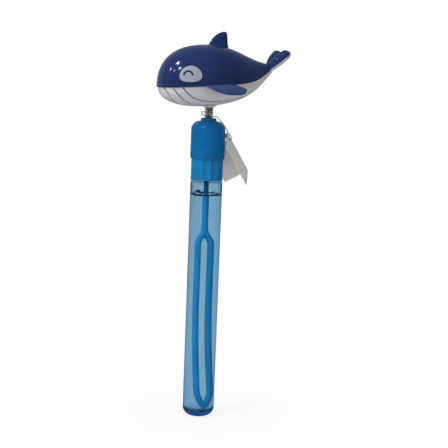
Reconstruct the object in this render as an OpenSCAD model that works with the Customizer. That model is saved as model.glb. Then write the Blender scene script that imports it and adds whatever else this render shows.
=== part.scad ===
// Bubble wand: a clear stick bottle with a fluted screw cap, a long loop wand on the cap,
// and a toy whale that bobs on a short coil spring. A blank folded tag hangs on a loop.
// Millimetres, +Z up. The origin is the middle of the tube's foot, and the whale faces -X.

/* [Tube] */
// Outer diameter of the tube
tube_d = 22; // [20:0.5:26]
// Wall of the tube
tube_wall = 1.1; // [0.8:0.1:1.6]
// Height of the straight part, from the foot to the shoulder
tube_h = 164.3; // [130:0.1:200]
// Thickness of the foot
foot_t = 4.2; // [2:0.1:4.6]
// How far the rounded edge under the foot draws in
foot_in = 6; // [2:0.5:7]
// Height of that rounded edge
foot_rise = 6; // [3:0.5:8]
// Radius of the round inside the foot
inner_round = 3; // [1:0.5:5]
// Height of the curved shoulder
shoulder_h = 1.2; // [1:0.1:4]
// How far the shoulder draws in
shoulder_in = 1.1; // [0.5:0.1:1.4]
// Outer diameter of the neck
neck_d = 18.8; // [18:0.1:19]
// Wall of the neck
neck_wall = 1.1; // [0.9:0.1:1.3]
// Height of the neck above the shoulder
neck_h = 14.9; // [13:0.1:18]

/* [Screw cap] */
// Diameter over the ridges of the fluted ring
ring_d = 22.4; // [21.6:0.1:23]
// Height of the fluted ring
ring_h = 14.5; // [12:0.1:16]
// Number of flat flutes round the ring
flutes = 12; // [8:1:14]
// Turn of the flutes round the ring
flute_turn = 22; // [0:1:36]
// Depth of a flute below the ridges
flute_depth = 0.34; // [0.2:0.02:0.6]
// Height of the plain lip under the flutes
lip_h = 0.8; // [0.5:0.1:2]
// Thickness of the cap's roof
roof_t = 1.6; // [1:0.1:3]
// Height of the spigot that carries the dome
spigot_h = 6; // [3:0.5:10]
// Wall of the spigot
spigot_wall = 1.3; // [0.8:0.1:2]
// Thickness of the sealing washer
washer_t = 0.8; // [0.5:0.1:1.5]

/* [Dome] */
// Diameter of the dome's skirt
dome_d = 23.5; // [22.5:0.1:26]
// Wall of the dome
dome_wall = 1.9; // [1.4:0.1:2.1]
// Height of the straight skirt
dome_h = 20; // [14:0.5:28]
// Height of the rounded shoulder above the skirt
dome_round_h = 5.8; // [4:0.1:9]
// Thickness of the dome's roof
dome_roof_t = 1.6; // [1:0.1:2.5]
// Diameter of the collar round the spring
collar_d = 10.7; // [9.5:0.1:12.5]
// Height of the collar
collar_h = 2.4; // [1.5:0.1:4]

/* [Wand] */
// Diameter of the stem
stem_d = 3.4; // [2.6:0.1:4]
// Diameter of the loop's legs
leg_d = 3.6; // [3:0.1:3.8]
// Free width inside the loop
loop_gap = 3.6; // [3:0.1:4]
// Height of the fork where the legs part
fork_z = 130.6; // [110:0.5:140]
// Height over which the legs spread
fork_h = 10; // [8:0.5:16]
// Height of the wand's tip above the ground
tip_z = 6.6; // [6.2:0.1:20]
// Height over which the legs close at the tip
tip_h = 10; // [8:0.5:14]
// Sideways bow at the tip of the bent wand
bow = 3.2; // [0:0.1:3.4]
// Height above the tip at which the bow begins
bow_h = 78; // [40:1:90]
// Radius of the flange under the washer
flange_r = 6.6; // [5:0.1:6.8]
// Thickness of the flange
flange_t = 1.2; // [0.8:0.1:2]
// Radius of the stud that snaps into the cap
stud_r = 2.3; // [2:0.1:3]

/* [Spring] */
// Outer diameter of the spring
spring_d = 6.1; // [5.5:0.1:6.6]
// Diameter of the spring wire
wire_d = 0.95; // [0.8:0.05:1]
// Number of curls
curls = 8; // [6:0.5:8]
// Length of spring that shows between the collar and the whale
spring_show = 7; // [6:0.5:10]
// Length of the pegs past the collar and past the whale's socket
peg_show = 0.8; // [0.4:0.1:1.5]
// Thickness of the flanges on the spring pegs
peg_flange_t = 1.5; // [1:0.1:2]
// Radius of the flanges on the spring pegs
peg_flange_r = 4.5; // [4:0.1:4.6]

/* [Whale body] */
// Length from the spring's axis to the nose
nose_l = 37.2; // [34:0.2:42]
// Length from the spring's axis to the end of the tail stock
tail_l = 44; // [40:0.5:50]
// Width over the upper shell
whale_w = 41; // [36:0.5:46]
// Height of the back above the seam
back_h = 26.8; // [24:0.1:32]
// Depth of the belly below the seam
belly_h = 15.2; // [13:0.1:17]
// Wall of both shells
shell_wall = 1.6; // [1.2:0.1:2.2]
// How far the upper shell overhangs the lower jaw
jaw_step = 1.1; // [0.5:0.1:2]
// Rise of the seam per millimetre towards the tail
seam_slope = 0.07; // [0:0.005:0.12]
// Added rise of the seam per millimetre along the tail
tail_slope = 0.62; // [0.5:0.02:0.9]
// Distance behind the spring where the tail bends up
tail_bend = 30.2; // [26:0.1:34]
// Length of the hollow behind the spring
hollow_l = 24; // [18:0.5:28]
// Radius of the spring socket under the belly
socket_r = 4.7; // [4.4:0.1:6]
// Height of the spring socket below the belly
socket_show = 0.8; // [0.4:0.1:3]
// Radius of a throat groove
groove_r = 0.42; // [0.3:0.02:0.6]

/* [Whale fins] */
// Height of the dorsal fin above its root line
fin_h = 8.9; // [6:0.1:12]
// Length of the dorsal fin at its root
fin_l = 13.3; // [10:0.1:16]
// Distance of the fin's front root behind the spring
fin_x = -0.9; // [-4:0.1:4]
// Thickness of the dorsal fin at its root
fin_t = 4.6; // [3:0.1:6]
// Length of a flipper
flipper_l = 28; // [26:0.5:34]
// Distance from the spring forward to the flipper's root
flipper_x = 10.6; // [6:0.1:14]
// Width of a flipper
flipper_w = 12; // [8:0.1:13]
// Thickness of a flipper
flipper_t = 3.2; // [2:0.1:4.5]
// Droop of a flipper below level
flipper_droop = 36; // [20:1:50]
// Length of a fluke lobe, from the tail stock to the middle of its round end
fluke_l = 14.8; // [12:0.1:20]
// Half width of a fluke lobe
fluke_r = 4.4; // [3:0.1:5]
// Height of a lobe's upper half
fluke_top = 4.6; // [3:0.1:5.5]
// Depth of a lobe's lower half
fluke_under = 2.3; // [1.5:0.1:3]
// Angle of a lobe away from the middle
fluke_spread = 27; // [24:1:40]
// Rise of the flukes above level
fluke_rise = 45; // [35:1:55]

/* [Eyes] */
// Distance from the spring forward to the middle of the eye patch
patch_x = 20.7; // [18:0.1:24]
// Height of the middle of the patch above the seam
patch_h = 7.6; // [6.5:0.1:10]
// Half length of the patch
patch_a = 7; // [6:0.1:9]
// Half height of the patch above its middle
patch_top = 5.9; // [5:0.1:8]
// Half height of the patch below its middle
patch_low = 4.7; // [4:0.1:6]
// Thickness of the patch
patch_t = 0.3; // [0.2:0.05:0.5]
// Distance of the eye's middle ahead of the patch's middle
eye_x = 1.8; // [0:0.1:3]
// Half span of the smiling eye arc
eye_r = 2.6; // [2:0.1:3.5]
// Thickness of the arc's line
eye_line = 0.9; // [0.6:0.05:1.2]

/* [Tag] */
// Height of the tag along its fold
tag_h = 34; // [26:0.5:40]
// Width of one leaf
tag_w = 18.5; // [14:0.5:22]
// Thickness of the card
tag_t = 0.45; // [0.3:0.05:0.8]
// Opening angle between the two leaves
tag_open = 76; // [64:1:90]
// Lean of the fold away from upright
tag_lean = 38; // [30:1:45]
// Direction in which the tag hangs, turned from +X
tag_turn = 20; // [0:1:40]
// Radius of the holes in the leaves
tag_hole_r = 1.1; // [0.9:0.05:1.4]
// Diameter of the loop's strand
loop_d = 0.8; // [0.5:0.05:1]

/* [Fits] */
// Radial clearance between the neck and the cap's skirt
skirt_gap = 0.25; // [0.2:0.05:0.4]
// Clearance of pressed pieces on one body
press_gap = 0.05; // [0.02:0.01:0.1]
// Clearance round pieces that move past each other
free_gap = 0.3; // [0.25:0.05:0.5]
// Gap of the parting line between the shells
seam_gap = 0.15; // [0.05:0.05:0.3]
// Gap between the tag and the dome
tag_gap = 0.6; // [0.4:0.1:1]

/* [Hidden] */
$fn = 64;
cut = 1;

// Tube and neck
tube_r = tube_d / 2;
bore_r = tube_r - tube_wall;
neck_r = neck_d / 2;
neck_bore_r = neck_r - neck_wall;
shoulder_z = tube_h + shoulder_h;
rim_z = shoulder_z + neck_h;

// Cap and dome
dome_z = rim_z + washer_t;
ring_z = dome_z - ring_h;
ring_r = ring_d / 2;
facet_r = ring_r - flute_depth;
skirt_r = neck_r + skirt_gap;
washer_r = neck_r;
dome_r = dome_d / 2;
dome_bore_r = dome_r - dome_wall;
spigot_r = dome_bore_r - press_gap;
dome_shoulder_z = dome_z + dome_h;
dome_top = dome_shoulder_z + dome_round_h;
dome_roof = dome_top - dome_roof_t;
collar_r = collar_d / 2;
collar_top = dome_top + collar_h;
stud_hole_r = stud_r + press_gap;

// Spring and its pegs. A peg clears the flats that the wire's rings leave inside the coil.
rings_per_curl = 8;
wire_sides = 6;
coil_r = (spring_d - wire_d) / 2;
spring_hole_r = spring_d / 2 + free_gap;
peg_r = (coil_r - wire_d / 2) * cos(180 / rings_per_curl) - press_gap;
socket_z = collar_top + spring_show;
belly_low = socket_z + socket_show;
plug_seat = 1.6;
plug_z = belly_low + shell_wall + plug_seat;

// Wand
stem_r = stem_d / 2;
leg_r = leg_d / 2;
leg_x = (loop_gap + leg_d) / 2;
flange_z = rim_z - flange_t;
stem_cone_h = 4;
barb_h = 2;
barb_out = 0.5;
barb_in = 0.4;
barb_lip = 0.2;

// Whale: the seam's height at the spring puts the lowest point of the belly at belly_low
nose_x = -nose_l;
jaw_x = nose_x + jaw_step;
keel_x = -4;
seam_soft = 9;
seam_z = belly_low + belly_h - seam_rise(keel_x);
section_pow = 2.15;
stations = 32;
sides = 20;
fluke_root = 0.2;
tail_end = 0.05;
tail_round = 0.8;
nose_solid = 2.5;
socket_flare = 1.8;

// Tag: the fold stands off so that the leaves' top edges clear the dome
tag_half = tag_open / 2;
tag_reach = sqrt(pow(cos(tag_half) * cos(tag_lean), 2) + pow(sin(tag_half), 2)) / sin(tag_half);
tag_x = (dome_r + tag_t + tag_gap) * tag_reach;
tag_drop = 2.2;
tag_z = dome_shoulder_z - tag_drop;
hole_down = 4;
hole_in = 3.5;
loop_r = loop_d / 2;
loop_play = 0.5;
loop_ring_r = spring_d / 2 + loop_r + loop_play;
loop_tilt = 3;
loop_z = collar_top + loop_r + loop_play;
loop_sides = 6;

// Points along an elliptic arc with radii r = [across, up], from angle a0 to a1
function arc(c, r, a0, a1, n = 8) =
    [for (i = [0:n]) let (a = a0 + (a1 - a0) * i / n) c + [r[0] * cos(a), r[1] * sin(a)]];

function unit(v) = v / norm(v);

// Faces of a skin over n rings of m points, closed at both ends by a single point each
function quad(p, q, r, s) = [[p, q, r], [p, r, s]];

function skin_faces(n, m) = let (first = n * m, last = n * m + 1) concat(
    [for (i = [0:n - 2], j = [0:m - 1]) let (k = (j + 1) % m)
        each quad(i * m + j, i * m + k, (i + 1) * m + k, (i + 1) * m + j)],
    [for (j = [0:m - 1]) [first, (j + 1) % m, j]],
    [for (j = [0:m - 1]) [last, (n - 1) * m + j, (n - 1) * m + (j + 1) % m]]);

// Solid over a list of rings, which turn clockwise when seen from the far end
module skin(rings, first, last) {
    points = [for (ring = rings) each ring];
    polyhedron(concat(points, [first, last]), skin_faces(len(rings), len(rings[0])));
}

// Chain of hulled balls along a path of points
module ball_chain(path, r, fn) {
    for (i = [0:len(path) - 2])
        hull() {
            translate(path[i]) sphere(r, $fn = fn);
            translate(path[i + 1]) sphere(r, $fn = fn);
        }
}

// Tube, cap and dome

module tube() {
    outer = concat(
        [[0, 0]],
        arc([tube_r - foot_in, foot_rise], [foot_in, foot_rise], -90, 0),
        arc([tube_r - shoulder_in, tube_h], [shoulder_in, shoulder_h], 0, 90),
        [[neck_r, shoulder_z], [neck_r, rim_z]]);
    inner = concat(
        [[neck_bore_r, rim_z]],
        arc([neck_bore_r, tube_h - tube_wall], [bore_r - neck_bore_r, shoulder_h], 90, 0),
        arc([bore_r - inner_round, foot_t + inner_round], [inner_round, inner_round], 0, -90),
        [[0, foot_t]]);
    color("lightskyblue", 0.5) rotate_extrude() polygon(concat(outer, inner));
}

module seal_washer() {
    color("whitesmoke") translate([0, 0, rim_z]) difference() {
        cylinder(h = washer_t, r = washer_r);
        translate([0, 0, -cut]) cylinder(h = washer_t + 2 * cut, r = stud_r + free_gap);
    }
}

module fluted_ring() {
    linear_extrude(ring_h) intersection() {
        circle(r = ring_r);
        rotate(flute_turn) circle(r = facet_r / cos(180 / flutes), $fn = flutes);
    }
    cylinder(h = lip_h, r = ring_r);
}

module screw_cap() {
    color("dodgerblue") difference() {
        union() {
            translate([0, 0, ring_z]) fluted_ring();
            translate([0, 0, ring_z + lip_h])
                cylinder(h = ring_h - lip_h + roof_t + spigot_h, r = spigot_r);
        }
        translate([0, 0, ring_z - cut]) cylinder(h = ring_h + cut, r = skirt_r);
        translate([0, 0, dome_z + roof_t]) cylinder(h = spigot_h + cut, r = spigot_r - spigot_wall);
        translate([0, 0, dome_z - cut]) cylinder(h = roof_t + 2 * cut, r = stud_hole_r);
    }
}

module cap_dome() {
    edge = 0.5;
    outer = concat(
        [[dome_bore_r, dome_z]],
        arc([dome_r - edge, dome_z + edge], [edge, edge], -90, 0, 4),
        arc([collar_r, dome_shoulder_z], [dome_r - collar_r, dome_round_h], 0, 90, 14),
        arc([collar_r - edge, collar_top - edge], [edge, edge], 0, 90, 4));
    inner = concat(
        [[spring_hole_r, collar_top], [spring_hole_r, dome_roof]],
        arc([peg_flange_r + free_gap, dome_shoulder_z],
            [dome_bore_r - peg_flange_r - free_gap, dome_round_h - dome_roof_t], 90, 0));
    color("steelblue") rotate_extrude() polygon(concat(outer, inner));
}

// Wand: a flanged stud, a straight stem and a long loop that is bowed at its tip

function ease(t) = t * t * (3 - 2 * t);
function bow_at(z) = bow * pow(max(0, tip_z + bow_h - z) / bow_h, 2);
function leg_point(side, spread, z) = [side * leg_x * spread + bow_at(z), 0, z];

// Path of one leg, from beside the fork down to where it is about to meet the other at the tip
leg_start = 0.04;
function leg_path(side) = let (low = tip_z + tip_h, high = fork_z - fork_h) concat(
    [for (i = [0:6]) let (t = i / 6)
        leg_point(side, leg_start + (1 - leg_start) * ease(t), fork_z - fork_h * t)],
    [for (i = [0:5]) leg_point(side, 1, min(high - 1, tip_z + bow_h) * (1 - i / 5) + low * i / 5)],
    [for (i = [1:3]) leg_point(side, cos(i * 22.5), low - tip_h * sin(i * 22.5) * i / 4)]);
function reversed(list) = [for (i = [len(list) - 1:-1:0]) list[i]];

module wand() {
    cone_z = flange_z - stem_cone_h;
    barb_z = dome_z + roof_t + press_gap;
    profile = [[0, fork_z - stem_r], [stem_r / 2, fork_z - stem_r], [stem_r, fork_z], [stem_r, cone_z],
               [2 * stem_r, flange_z], [flange_r, flange_z], [flange_r, rim_z], [stud_r, rim_z],
               [stud_r, barb_z], [stud_r + barb_out, barb_z + barb_lip],
               [stud_r - barb_in, barb_z + barb_h], [0, barb_z + barb_h]];
    color("royalblue") {
        rotate_extrude($fn = 26) polygon(profile);
        ball_chain(concat(leg_path(-1), [leg_point(0, 0, tip_z)], reversed(leg_path(1))), leg_r, 12);
    }
}

// Spring: one unbroken tube whose ends stand square on the flanges of the two pegs

bend_r = wire_d;
bend_turn = bend_r / coil_r * 180 / PI;
coil_low = dome_roof + wire_d + bend_r;
coil_high = plug_z - wire_d - bend_r;
coil_turn = 360 * curls;
coil_rise = atan((coil_high - coil_low) / (curls * 2 * PI * coil_r));
coil_rings = round(rings_per_curl * curls);

// Each ring of the wire: its turn about the axis, its height and the climb of the wire
wire_path = concat(
    [[-bend_turn, dome_roof, 90], [-bend_turn, dome_roof + wire_d, 90],
     [-bend_turn * cos(45), coil_low - bend_r * (1 - sin(45)), 45]],
    [for (i = [0:coil_rings]) let (t = i / coil_rings)
        [coil_turn * t, coil_low + (coil_high - coil_low) * t, coil_rise]],
    [[coil_turn + bend_turn * cos(45), coil_high + bend_r * (1 - sin(45)), 45],
     [coil_turn + bend_turn, plug_z - wire_d, 90], [coil_turn + bend_turn, plug_z, 90]]);

function wire_centre(w) = [coil_r * cos(w[0]), coil_r * sin(w[0]), w[1]];
function wire_ring(w) = let (out = [cos(w[0]), sin(w[0]), 0],
                             up = [sin(w[0]) * sin(w[2]), -cos(w[0]) * sin(w[2]), cos(w[2])])
    [for (k = [0:wire_sides - 1]) let (a = 360 * k / wire_sides)
        wire_centre(w) + wire_d / 2 * (cos(a) * out + sin(a) * up)];

// Least gap of the wire to itself, between rings that are half a curl or more apart
coil_points = [for (w = wire_path) wire_centre(w)];
last_ring = len(coil_points) - 1;
coil_gap = min([for (i = [0:last_ring], j = [i + rings_per_curl / 2:1:last_ring])
                norm(coil_points[i] - coil_points[j])]) - wire_d;
echo(least_gap_of_the_spring_to_itself = coil_gap);

module wobble_spring() {
    rings = [for (w = wire_path) wire_ring(w)];
    color("dimgray") skin(rings, coil_points[0], coil_points[last_ring]);
}

module peg(flange_z, peg_len) {
    tip = 0.4;
    rotate_extrude() polygon([
        [0, flange_z - peg_flange_t], [peg_flange_r, flange_z - peg_flange_t], [peg_flange_r, flange_z],
        [peg_r, flange_z], [peg_r, flange_z + peg_len - tip], [peg_r - tip, flange_z + peg_len],
        [0, flange_z + peg_len]]);
}

module spring_post() {
    color("steelblue") peg(dome_roof, collar_top + peg_show - dome_roof);
}

module spring_plug() {
    color("gainsboro") translate([0, 0, 2 * plug_z]) mirror([0, 0, 1])
        peg(plug_z, plug_z - socket_z + peg_show);
}

// Whale: the two shells are lofted from the same swelling curves along the body

// Height of the seam above its level at the spring
function seam_rise(x) = seam_slope * x
    + tail_slope / 2 * (x - tail_bend + sqrt(pow(x - tail_bend, 2) + pow(seam_soft, 2)));
function seam_at(x) = seam_z + seam_rise(x);

// A size that swells from nothing at the nose to its peak and tapers to a share of it at the tail.
// A shape is [place of the peak, power of the round nose, share lost at the tail, power of the taper].
width_shape = [-6, 2.3, 0.83, 1.9];
back_shape = [-6, 2.25, 0.907, 1.93];
belly_shape = [keel_x, 2.4, 0.8, 2.4];

function swell(x, nose, peak, shape) = let (mid = shape[0]) x < mid
    ? peak * pow(max(0, 1 - pow((mid - x) / (mid - nose), shape[1])), 1 / shape[1])
    : peak * (1 - shape[2] * pow((x - mid) / (tail_l - mid), shape[3]));

function half_width(x, nose, inset) = swell(x, nose, whale_w / 2 - inset, width_shape);
function back_at(x, nose, inset) = swell(x, nose, back_h - inset, back_shape);
function belly_at(x, nose, inset) = swell(x, nose, belly_h - inset, belly_shape);

// Point of a rounded section, at an angle that starts at the seam on the -Y side
function section_point(x, w, h, a, base) =
    [x, -w * sign(cos(a)) * pow(abs(cos(a)), 2 / section_pow),
     base + h * sign(sin(a)) * pow(abs(sin(a)), 2 / section_pow)];

// Positions along the body, close together at the round nose
function stations_from(nose, end, n) = [for (i = [1:n]) nose + (end - nose) * (1 - cos(90 * i / n))];

// Curve of one section, above (a0 = 0) or below (a0 = 180) the seam
function half_section(x, nose, inset_w, inset_h, a0, lift) = let (
    w = half_width(x, nose, inset_w),
    h = a0 == 0 ? back_at(x, nose, inset_h) : belly_at(x, nose, inset_h))
    [for (j = [0:sides]) section_point(x, w, h, a0 + 180 * j / sides, seam_at(x) + lift)];

// Faces of a half shell over n sections of m + 1 points. Sections a to b also have an inner curve,
// whose points follow the outer ones, and then come the points of the nose and of the tail.
function outer_id(i, j, m) = i * (m + 1) + j;
function inner_id(i, j, n, m, a) = (n + i - a) * (m + 1) + j;

function curved_faces(n, m, a, b) = concat(
    [for (i = [0:n - 2], j = [0:m - 1]) each quad(
        outer_id(i, j, m), outer_id(i, j + 1, m), outer_id(i + 1, j + 1, m), outer_id(i + 1, j, m))],
    [for (i = [a:b - 1], j = [0:m - 1]) each quad(
        inner_id(i, j + 1, n, m, a), inner_id(i, j, n, m, a),
        inner_id(i + 1, j, n, m, a), inner_id(i + 1, j + 1, n, m, a))]);

// Flat faces along the seam: whole across the solid ends, and two strips beside the hollow
function seam_faces(n, m, a, b) = concat(
    [for (i = [0:n - 2]) if (i < a - 1 || i > b) each quad(
        outer_id(i, m, m), outer_id(i, 0, m), outer_id(i + 1, 0, m), outer_id(i + 1, m, m))],
    [for (i = [a:b - 1]) each quad(
        outer_id(i, m, m), inner_id(i, m, n, m, a), inner_id(i + 1, m, n, m, a), outer_id(i + 1, m, m))],
    [for (i = [a:b - 1]) each quad(
        inner_id(i, 0, n, m, a), outer_id(i, 0, m), outer_id(i + 1, 0, m), inner_id(i + 1, 0, n, m, a))]);

// Faces where the hollow starts and ends, and the fans at the nose and the tail
function end_faces(n, m, a, b) = let (
    nose = (n + b - a + 1) * (m + 1), tail = nose + 1,
    p = [outer_id(a - 1, m, m), outer_id(a - 1, 0, m), outer_id(a, 0, m), inner_id(a, 0, n, m, a),
         inner_id(a, m, n, m, a), outer_id(a, m, m)],
    q = [outer_id(b, m, m), inner_id(b, m, n, m, a), inner_id(b, 0, n, m, a), outer_id(b, 0, m),
         outer_id(b + 1, 0, m), outer_id(b + 1, m, m)])
    concat(
        [[p[1], p[2], p[3]], [p[1], p[3], p[4]], [p[1], p[4], p[0]], [p[0], p[4], p[5]]],
        [[q[0], q[1], q[5]], [q[1], q[4], q[5]], [q[1], q[2], q[4]], [q[2], q[3], q[4]]],
        [[for (j = [0:m]) inner_id(a, j, n, m, a)], [for (j = [m:-1:0]) inner_id(b, j, n, m, a)]],
        [for (j = [0:m]) [nose, (j + 1) % (m + 1), j]],
        [for (j = [0:m]) [tail, outer_id(n - 1, j, m), outer_id(n - 1, (j + 1) % (m + 1), m)]]);

// One moulded half of the body: a lofted shell, solid at the nose and along the tail stock
module half_shell(nose, inset_w, a0, lift) {
    xs = stations_from(nose, tail_l, stations);
    hollow = [for (i = [0:stations - 1]) if (xs[i] > nose + nose_solid * shell_wall && xs[i] < hollow_l) i];
    a = hollow[0];
    b = hollow[len(hollow) - 1];
    outer = [for (x = xs) each half_section(x, nose, inset_w, 0, a0, lift)];
    inner = [for (i = hollow)
        each half_section(xs[i], nose + shell_wall, inset_w + shell_wall, shell_wall, a0, lift)];
    tip_x = tail_l + (a0 == 0 ? tail_end : tail_round);
    ends = [[nose, 0, seam_at(nose) + lift], [tip_x, 0, seam_at(tail_l) + lift]];
    polyhedron(concat(outer, inner, ends),
               concat(curved_faces(stations, sides, a, b), seam_faces(stations, sides, a, b),
                      end_faces(stations, sides, a, b)));
}

// Line that parts the flukes. Inside the tail stock it draws away from the seam by tail_ease.
fluke_x = tail_l - fluke_root;
tail_ease = 0.8;
tail_lap = 8;
function tail_line(above) = let (
    start_x = fluke_x - tail_lap,
    end = [fluke_x, seam_at(fluke_x) - (above ? 0 : seam_gap)])
    [[start_x, seam_at(start_x) + (above ? tail_ease : -2 * tail_ease)], end,
     end + 2 * fluke_l * [cos(fluke_rise), sin(fluke_rise)]];

// Space on one side of that line, wider than the flukes
module tail_side(above) {
    reach = 4 * fluke_l;
    edge = tail_line(above);
    far_z = seam_at(fluke_x) + (above ? reach : -reach);
    rotate([90, 0, 0]) linear_extrude(reach, center = true)
        polygon(concat(edge, [[edge[2][0], far_z], [edge[0][0], far_z]]));
}

// One half of the flukes: two fat lobes that spread from inside the end of the tail stock.
// Shares of the lobe: its radius at the root and at the end, and the place of its widest part.
lobe_root = 0.45;
lobe_end = 0.9;
lobe_wide = 0.6;

module flukes(height, above) {
    intersection() {
        translate([fluke_x, 0, seam_at(fluke_x)]) rotate([0, -fluke_rise, 0])
            for (side = [-1, 1])
                scale([1, 1, height / fluke_r]) hull() {
                    translate([-fluke_r, 0, 0]) sphere(lobe_root * fluke_r, $fn = 24);
                    rotate([0, 0, side * fluke_spread]) {
                        translate([lobe_wide * fluke_l, 0, 0]) sphere(fluke_r, $fn = 24);
                        translate([fluke_l, 0, 0]) sphere(lobe_end * fluke_r, $fn = 24);
                    }
                }
        tail_side(above);
    }
}

// Slice of the dorsal fin at a share v of its height: its front edge sweeps back in a curve,
// and its rear edge leans forward a little and rounds off at the tip
fin_tip_l = 1.8;
fin_lean = 0.6;
fin_tip_round = 1.1;
fin_taper = 0.65;
fin_sweep = [1.3, 0.6];

module fin_slice(v, z) {
    front = fin_x + (fin_l - fin_tip_l) * (1 - pow(1 - pow(v, fin_sweep[0]), fin_sweep[1]));
    rear = fin_x + fin_l - fin_lean * v - fin_tip_round * pow(v, 8);
    translate([(front + rear) / 2, 0, z])
        scale([(rear - front) / 2, fin_t * (1 - fin_taper * v) / 2, 1])
            cylinder(h = fin_h / 30, r = 1, $fn = 20);
}

// The fin is a stack of hulled slices that starts inside the back
module dorsal_fin() {
    steps = 9;
    top_share = 0.985;
    sunk = 3.5;
    root_z = seam_at(fin_x) + back_at(fin_x, nose_x, 0) - 0.3;
    hull() {
        fin_slice(0, root_z - sunk);
        fin_slice(0, root_z);
    }
    for (i = [0:steps - 1])
        hull() {
            fin_slice(i / steps, root_z + fin_h * i / steps);
            fin_slice((i + 1) / steps * top_share, root_z + fin_h * (i + 1) / steps);
        }
}

module whale_back() {
    color("midnightblue") {
        half_shell(nose_x, 0, 0, 0);
        dorsal_fin();
        flukes(fluke_top, true);
    }
}

// Throat grooves: each starts at the seam and sweeps down and back along the belly
// Each row gives its start, its end and the angle below the seam that it settles at
grooves = [[nose_x + 1.5, -16, 84], [nose_x + 6, 20, 70], [nose_x + 11.5, 24, 51]];
groove_settle = 8;

function belly_point(x, a) = section_point(
    x, half_width(x, jaw_x, jaw_step), belly_at(x, jaw_x, 0), 360 - a, seam_at(x) - seam_gap);
function groove_path(g) = [for (i = [0:14]) let (x = g[0] + (g[1] - g[0]) * pow(i / 14, 1.8))
    belly_point(x, g[2] * (1 - exp(-(x - g[0]) / groove_settle)))];

module whale_belly() {
    color("gainsboro") difference() {
        union() {
            half_shell(jaw_x, jaw_step, 180, -seam_gap);
            translate([0, 0, socket_z])
                cylinder(h = plug_z - socket_z, r1 = socket_r, r2 = socket_r + socket_flare, $fn = 48);
            flukes(fluke_under, false);
        }
        translate([0, 0, socket_z - cut])
            cylinder(h = plug_z - socket_z + 2 * cut, r = spring_hole_r, $fn = 48);
        for (g = grooves, side = [0, 1])
            mirror([0, side, 0]) ball_chain(groove_path(g), groove_r, 8);
    }
}

// Flipper: a leaf whose inner edge follows the seam and leaves the body towards its tip

// Share of its length along the body, slope away from the body, fall of the tip, rise above the seam,
// and the powers that set where it is widest and how blunt its ends are
flipper_free = 0.62;
flipper_out = 0.42;
flipper_drop = 3;
flipper_lift = 0.4;
flipper_blunt = [1.35, 0.42];

function flipper_edge(x) = let (
    free_x = -flipper_x + flipper_l * flipper_free,
    body = half_width(x, nose_x, 0),
    past = half_width(free_x, nose_x, 0) + flipper_out * (x - free_x),
    out = (body + past + sqrt(pow(body - past, 2) + 1)) / 2,
    down = flipper_drop * pow(max(0, x - free_x) / (flipper_l * (1 - flipper_free)), 1.5))
    [x, -out - seam_gap, seam_at(min(x, free_x)) + flipper_lift - down];

function flipper_ring(s) = let (
    swell_s = pow(max(0, sin(180 * pow(s, flipper_blunt[0]))), flipper_blunt[1]),
    b = flipper_w * swell_s / 2,
    t = flipper_t * swell_s / 2,
    along = [0, -cos(flipper_droop), -sin(flipper_droop)],
    up = [0, -sin(flipper_droop), cos(flipper_droop)],
    c = flipper_edge(-flipper_x + flipper_l * s) + b * along)
    [for (k = [0:11]) c + b * cos(30 * k) * along + t * sin(30 * k) * up];

module flipper(side) {
    n = 16;
    rings = [for (i = [1:n - 1]) flipper_ring((1 - cos(180 * i / n)) / 2)];
    color("darkslateblue") mirror([0, side, 0])
        skin(rings, flipper_edge(-flipper_x), flipper_edge(flipper_l - flipper_x));
}

module left_flipper() { flipper(0); }
module right_flipper() { flipper(1); }

// Eyes: a thin egg-shaped patch and a smiling arc that follow the curve of the head

function head_point(x, h) = let (
    share = pow(1 - pow(h / back_at(x, nose_x, 0), section_pow), 1 / section_pow))
    [x, -half_width(x, nose_x, 0) * share, seam_at(x) + h];

// Point that stands off the head along its outward normal
function off_head(x, h, d) = let (
    e = 0.1,
    along = head_point(x + e, h) - head_point(x - e, h),
    up = head_point(x, h + e) - head_point(x, h - e))
    head_point(x, h) + d * unit(cross(along, up));

patch_rings = 4;
patch_sides = 28;
patch_low_off = 0.08;
patch_lean = 0.12;
patch_flat = 0.75;

// Point of the patch at a share of the way from its middle to its rim, and d off the head.
// The lower rim is flatter than the upper one.
function patch_point(share, a, d) = let (
    tall = sin(a) > 0 ? patch_top * sin(a) : -patch_low * pow(-sin(a), patch_flat))
    off_head(-patch_x + share * patch_a * cos(a) * (1 - patch_lean * sin(a)), patch_h + share * tall, d);

// Disc of rings from the middle out, on the front, and back to the middle, on the rear
module eye_patch(side) {
    outward = [for (i = [1:patch_rings]) i / patch_rings];
    shares = concat(outward, reversed(outward));
    rings = [for (i = [0:len(shares) - 1])
        [for (k = [0:patch_sides - 1]) patch_point(shares[i], 360 * k / patch_sides,
            i < patch_rings ? patch_low_off + patch_t : patch_low_off)]];
    color("lightgray") mirror([0, side, 0])
        skin(rings, patch_point(0, 0, patch_low_off + patch_t), patch_point(0, 0, patch_low_off));
}

module left_eye_patch() { eye_patch(0); }
module right_eye_patch() { eye_patch(1); }

// The arc runs a little past half a turn, below the middle of the patch and just clear of it
eye_past = 4;
eye_drop = 0.1;
eye_off = 0.04;
eye_steps = 14;

// Square section of the arc's line at an angle along the smile
function eye_ring(a) = let (low = patch_low_off + patch_t + eye_off)
    [for (q = [[-1, 0], [1, 0], [1, 1], [-1, 1]]) let (r = eye_r + q[0] * eye_line / 2)
        off_head(-patch_x - eye_x + r * cos(a), patch_h - eye_drop + r * sin(a), low + q[1] * patch_t)];

module eye(side) {
    rings = [for (i = [0:eye_steps]) eye_ring(180 + eye_past - (180 + 2 * eye_past) * i / eye_steps)];
    mid = [for (r = [rings[0], rings[eye_steps]]) (r[0] + r[1] + r[2] + r[3]) / 4];
    color("black") mirror([0, side, 0]) skin(rings, mid[0], mid[1]);
}

module left_eye() { eye(0); }
module right_eye() { eye(1); }

// Tag: a card folded once, leaning outwards, with its leaves open towards the dome

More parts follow.
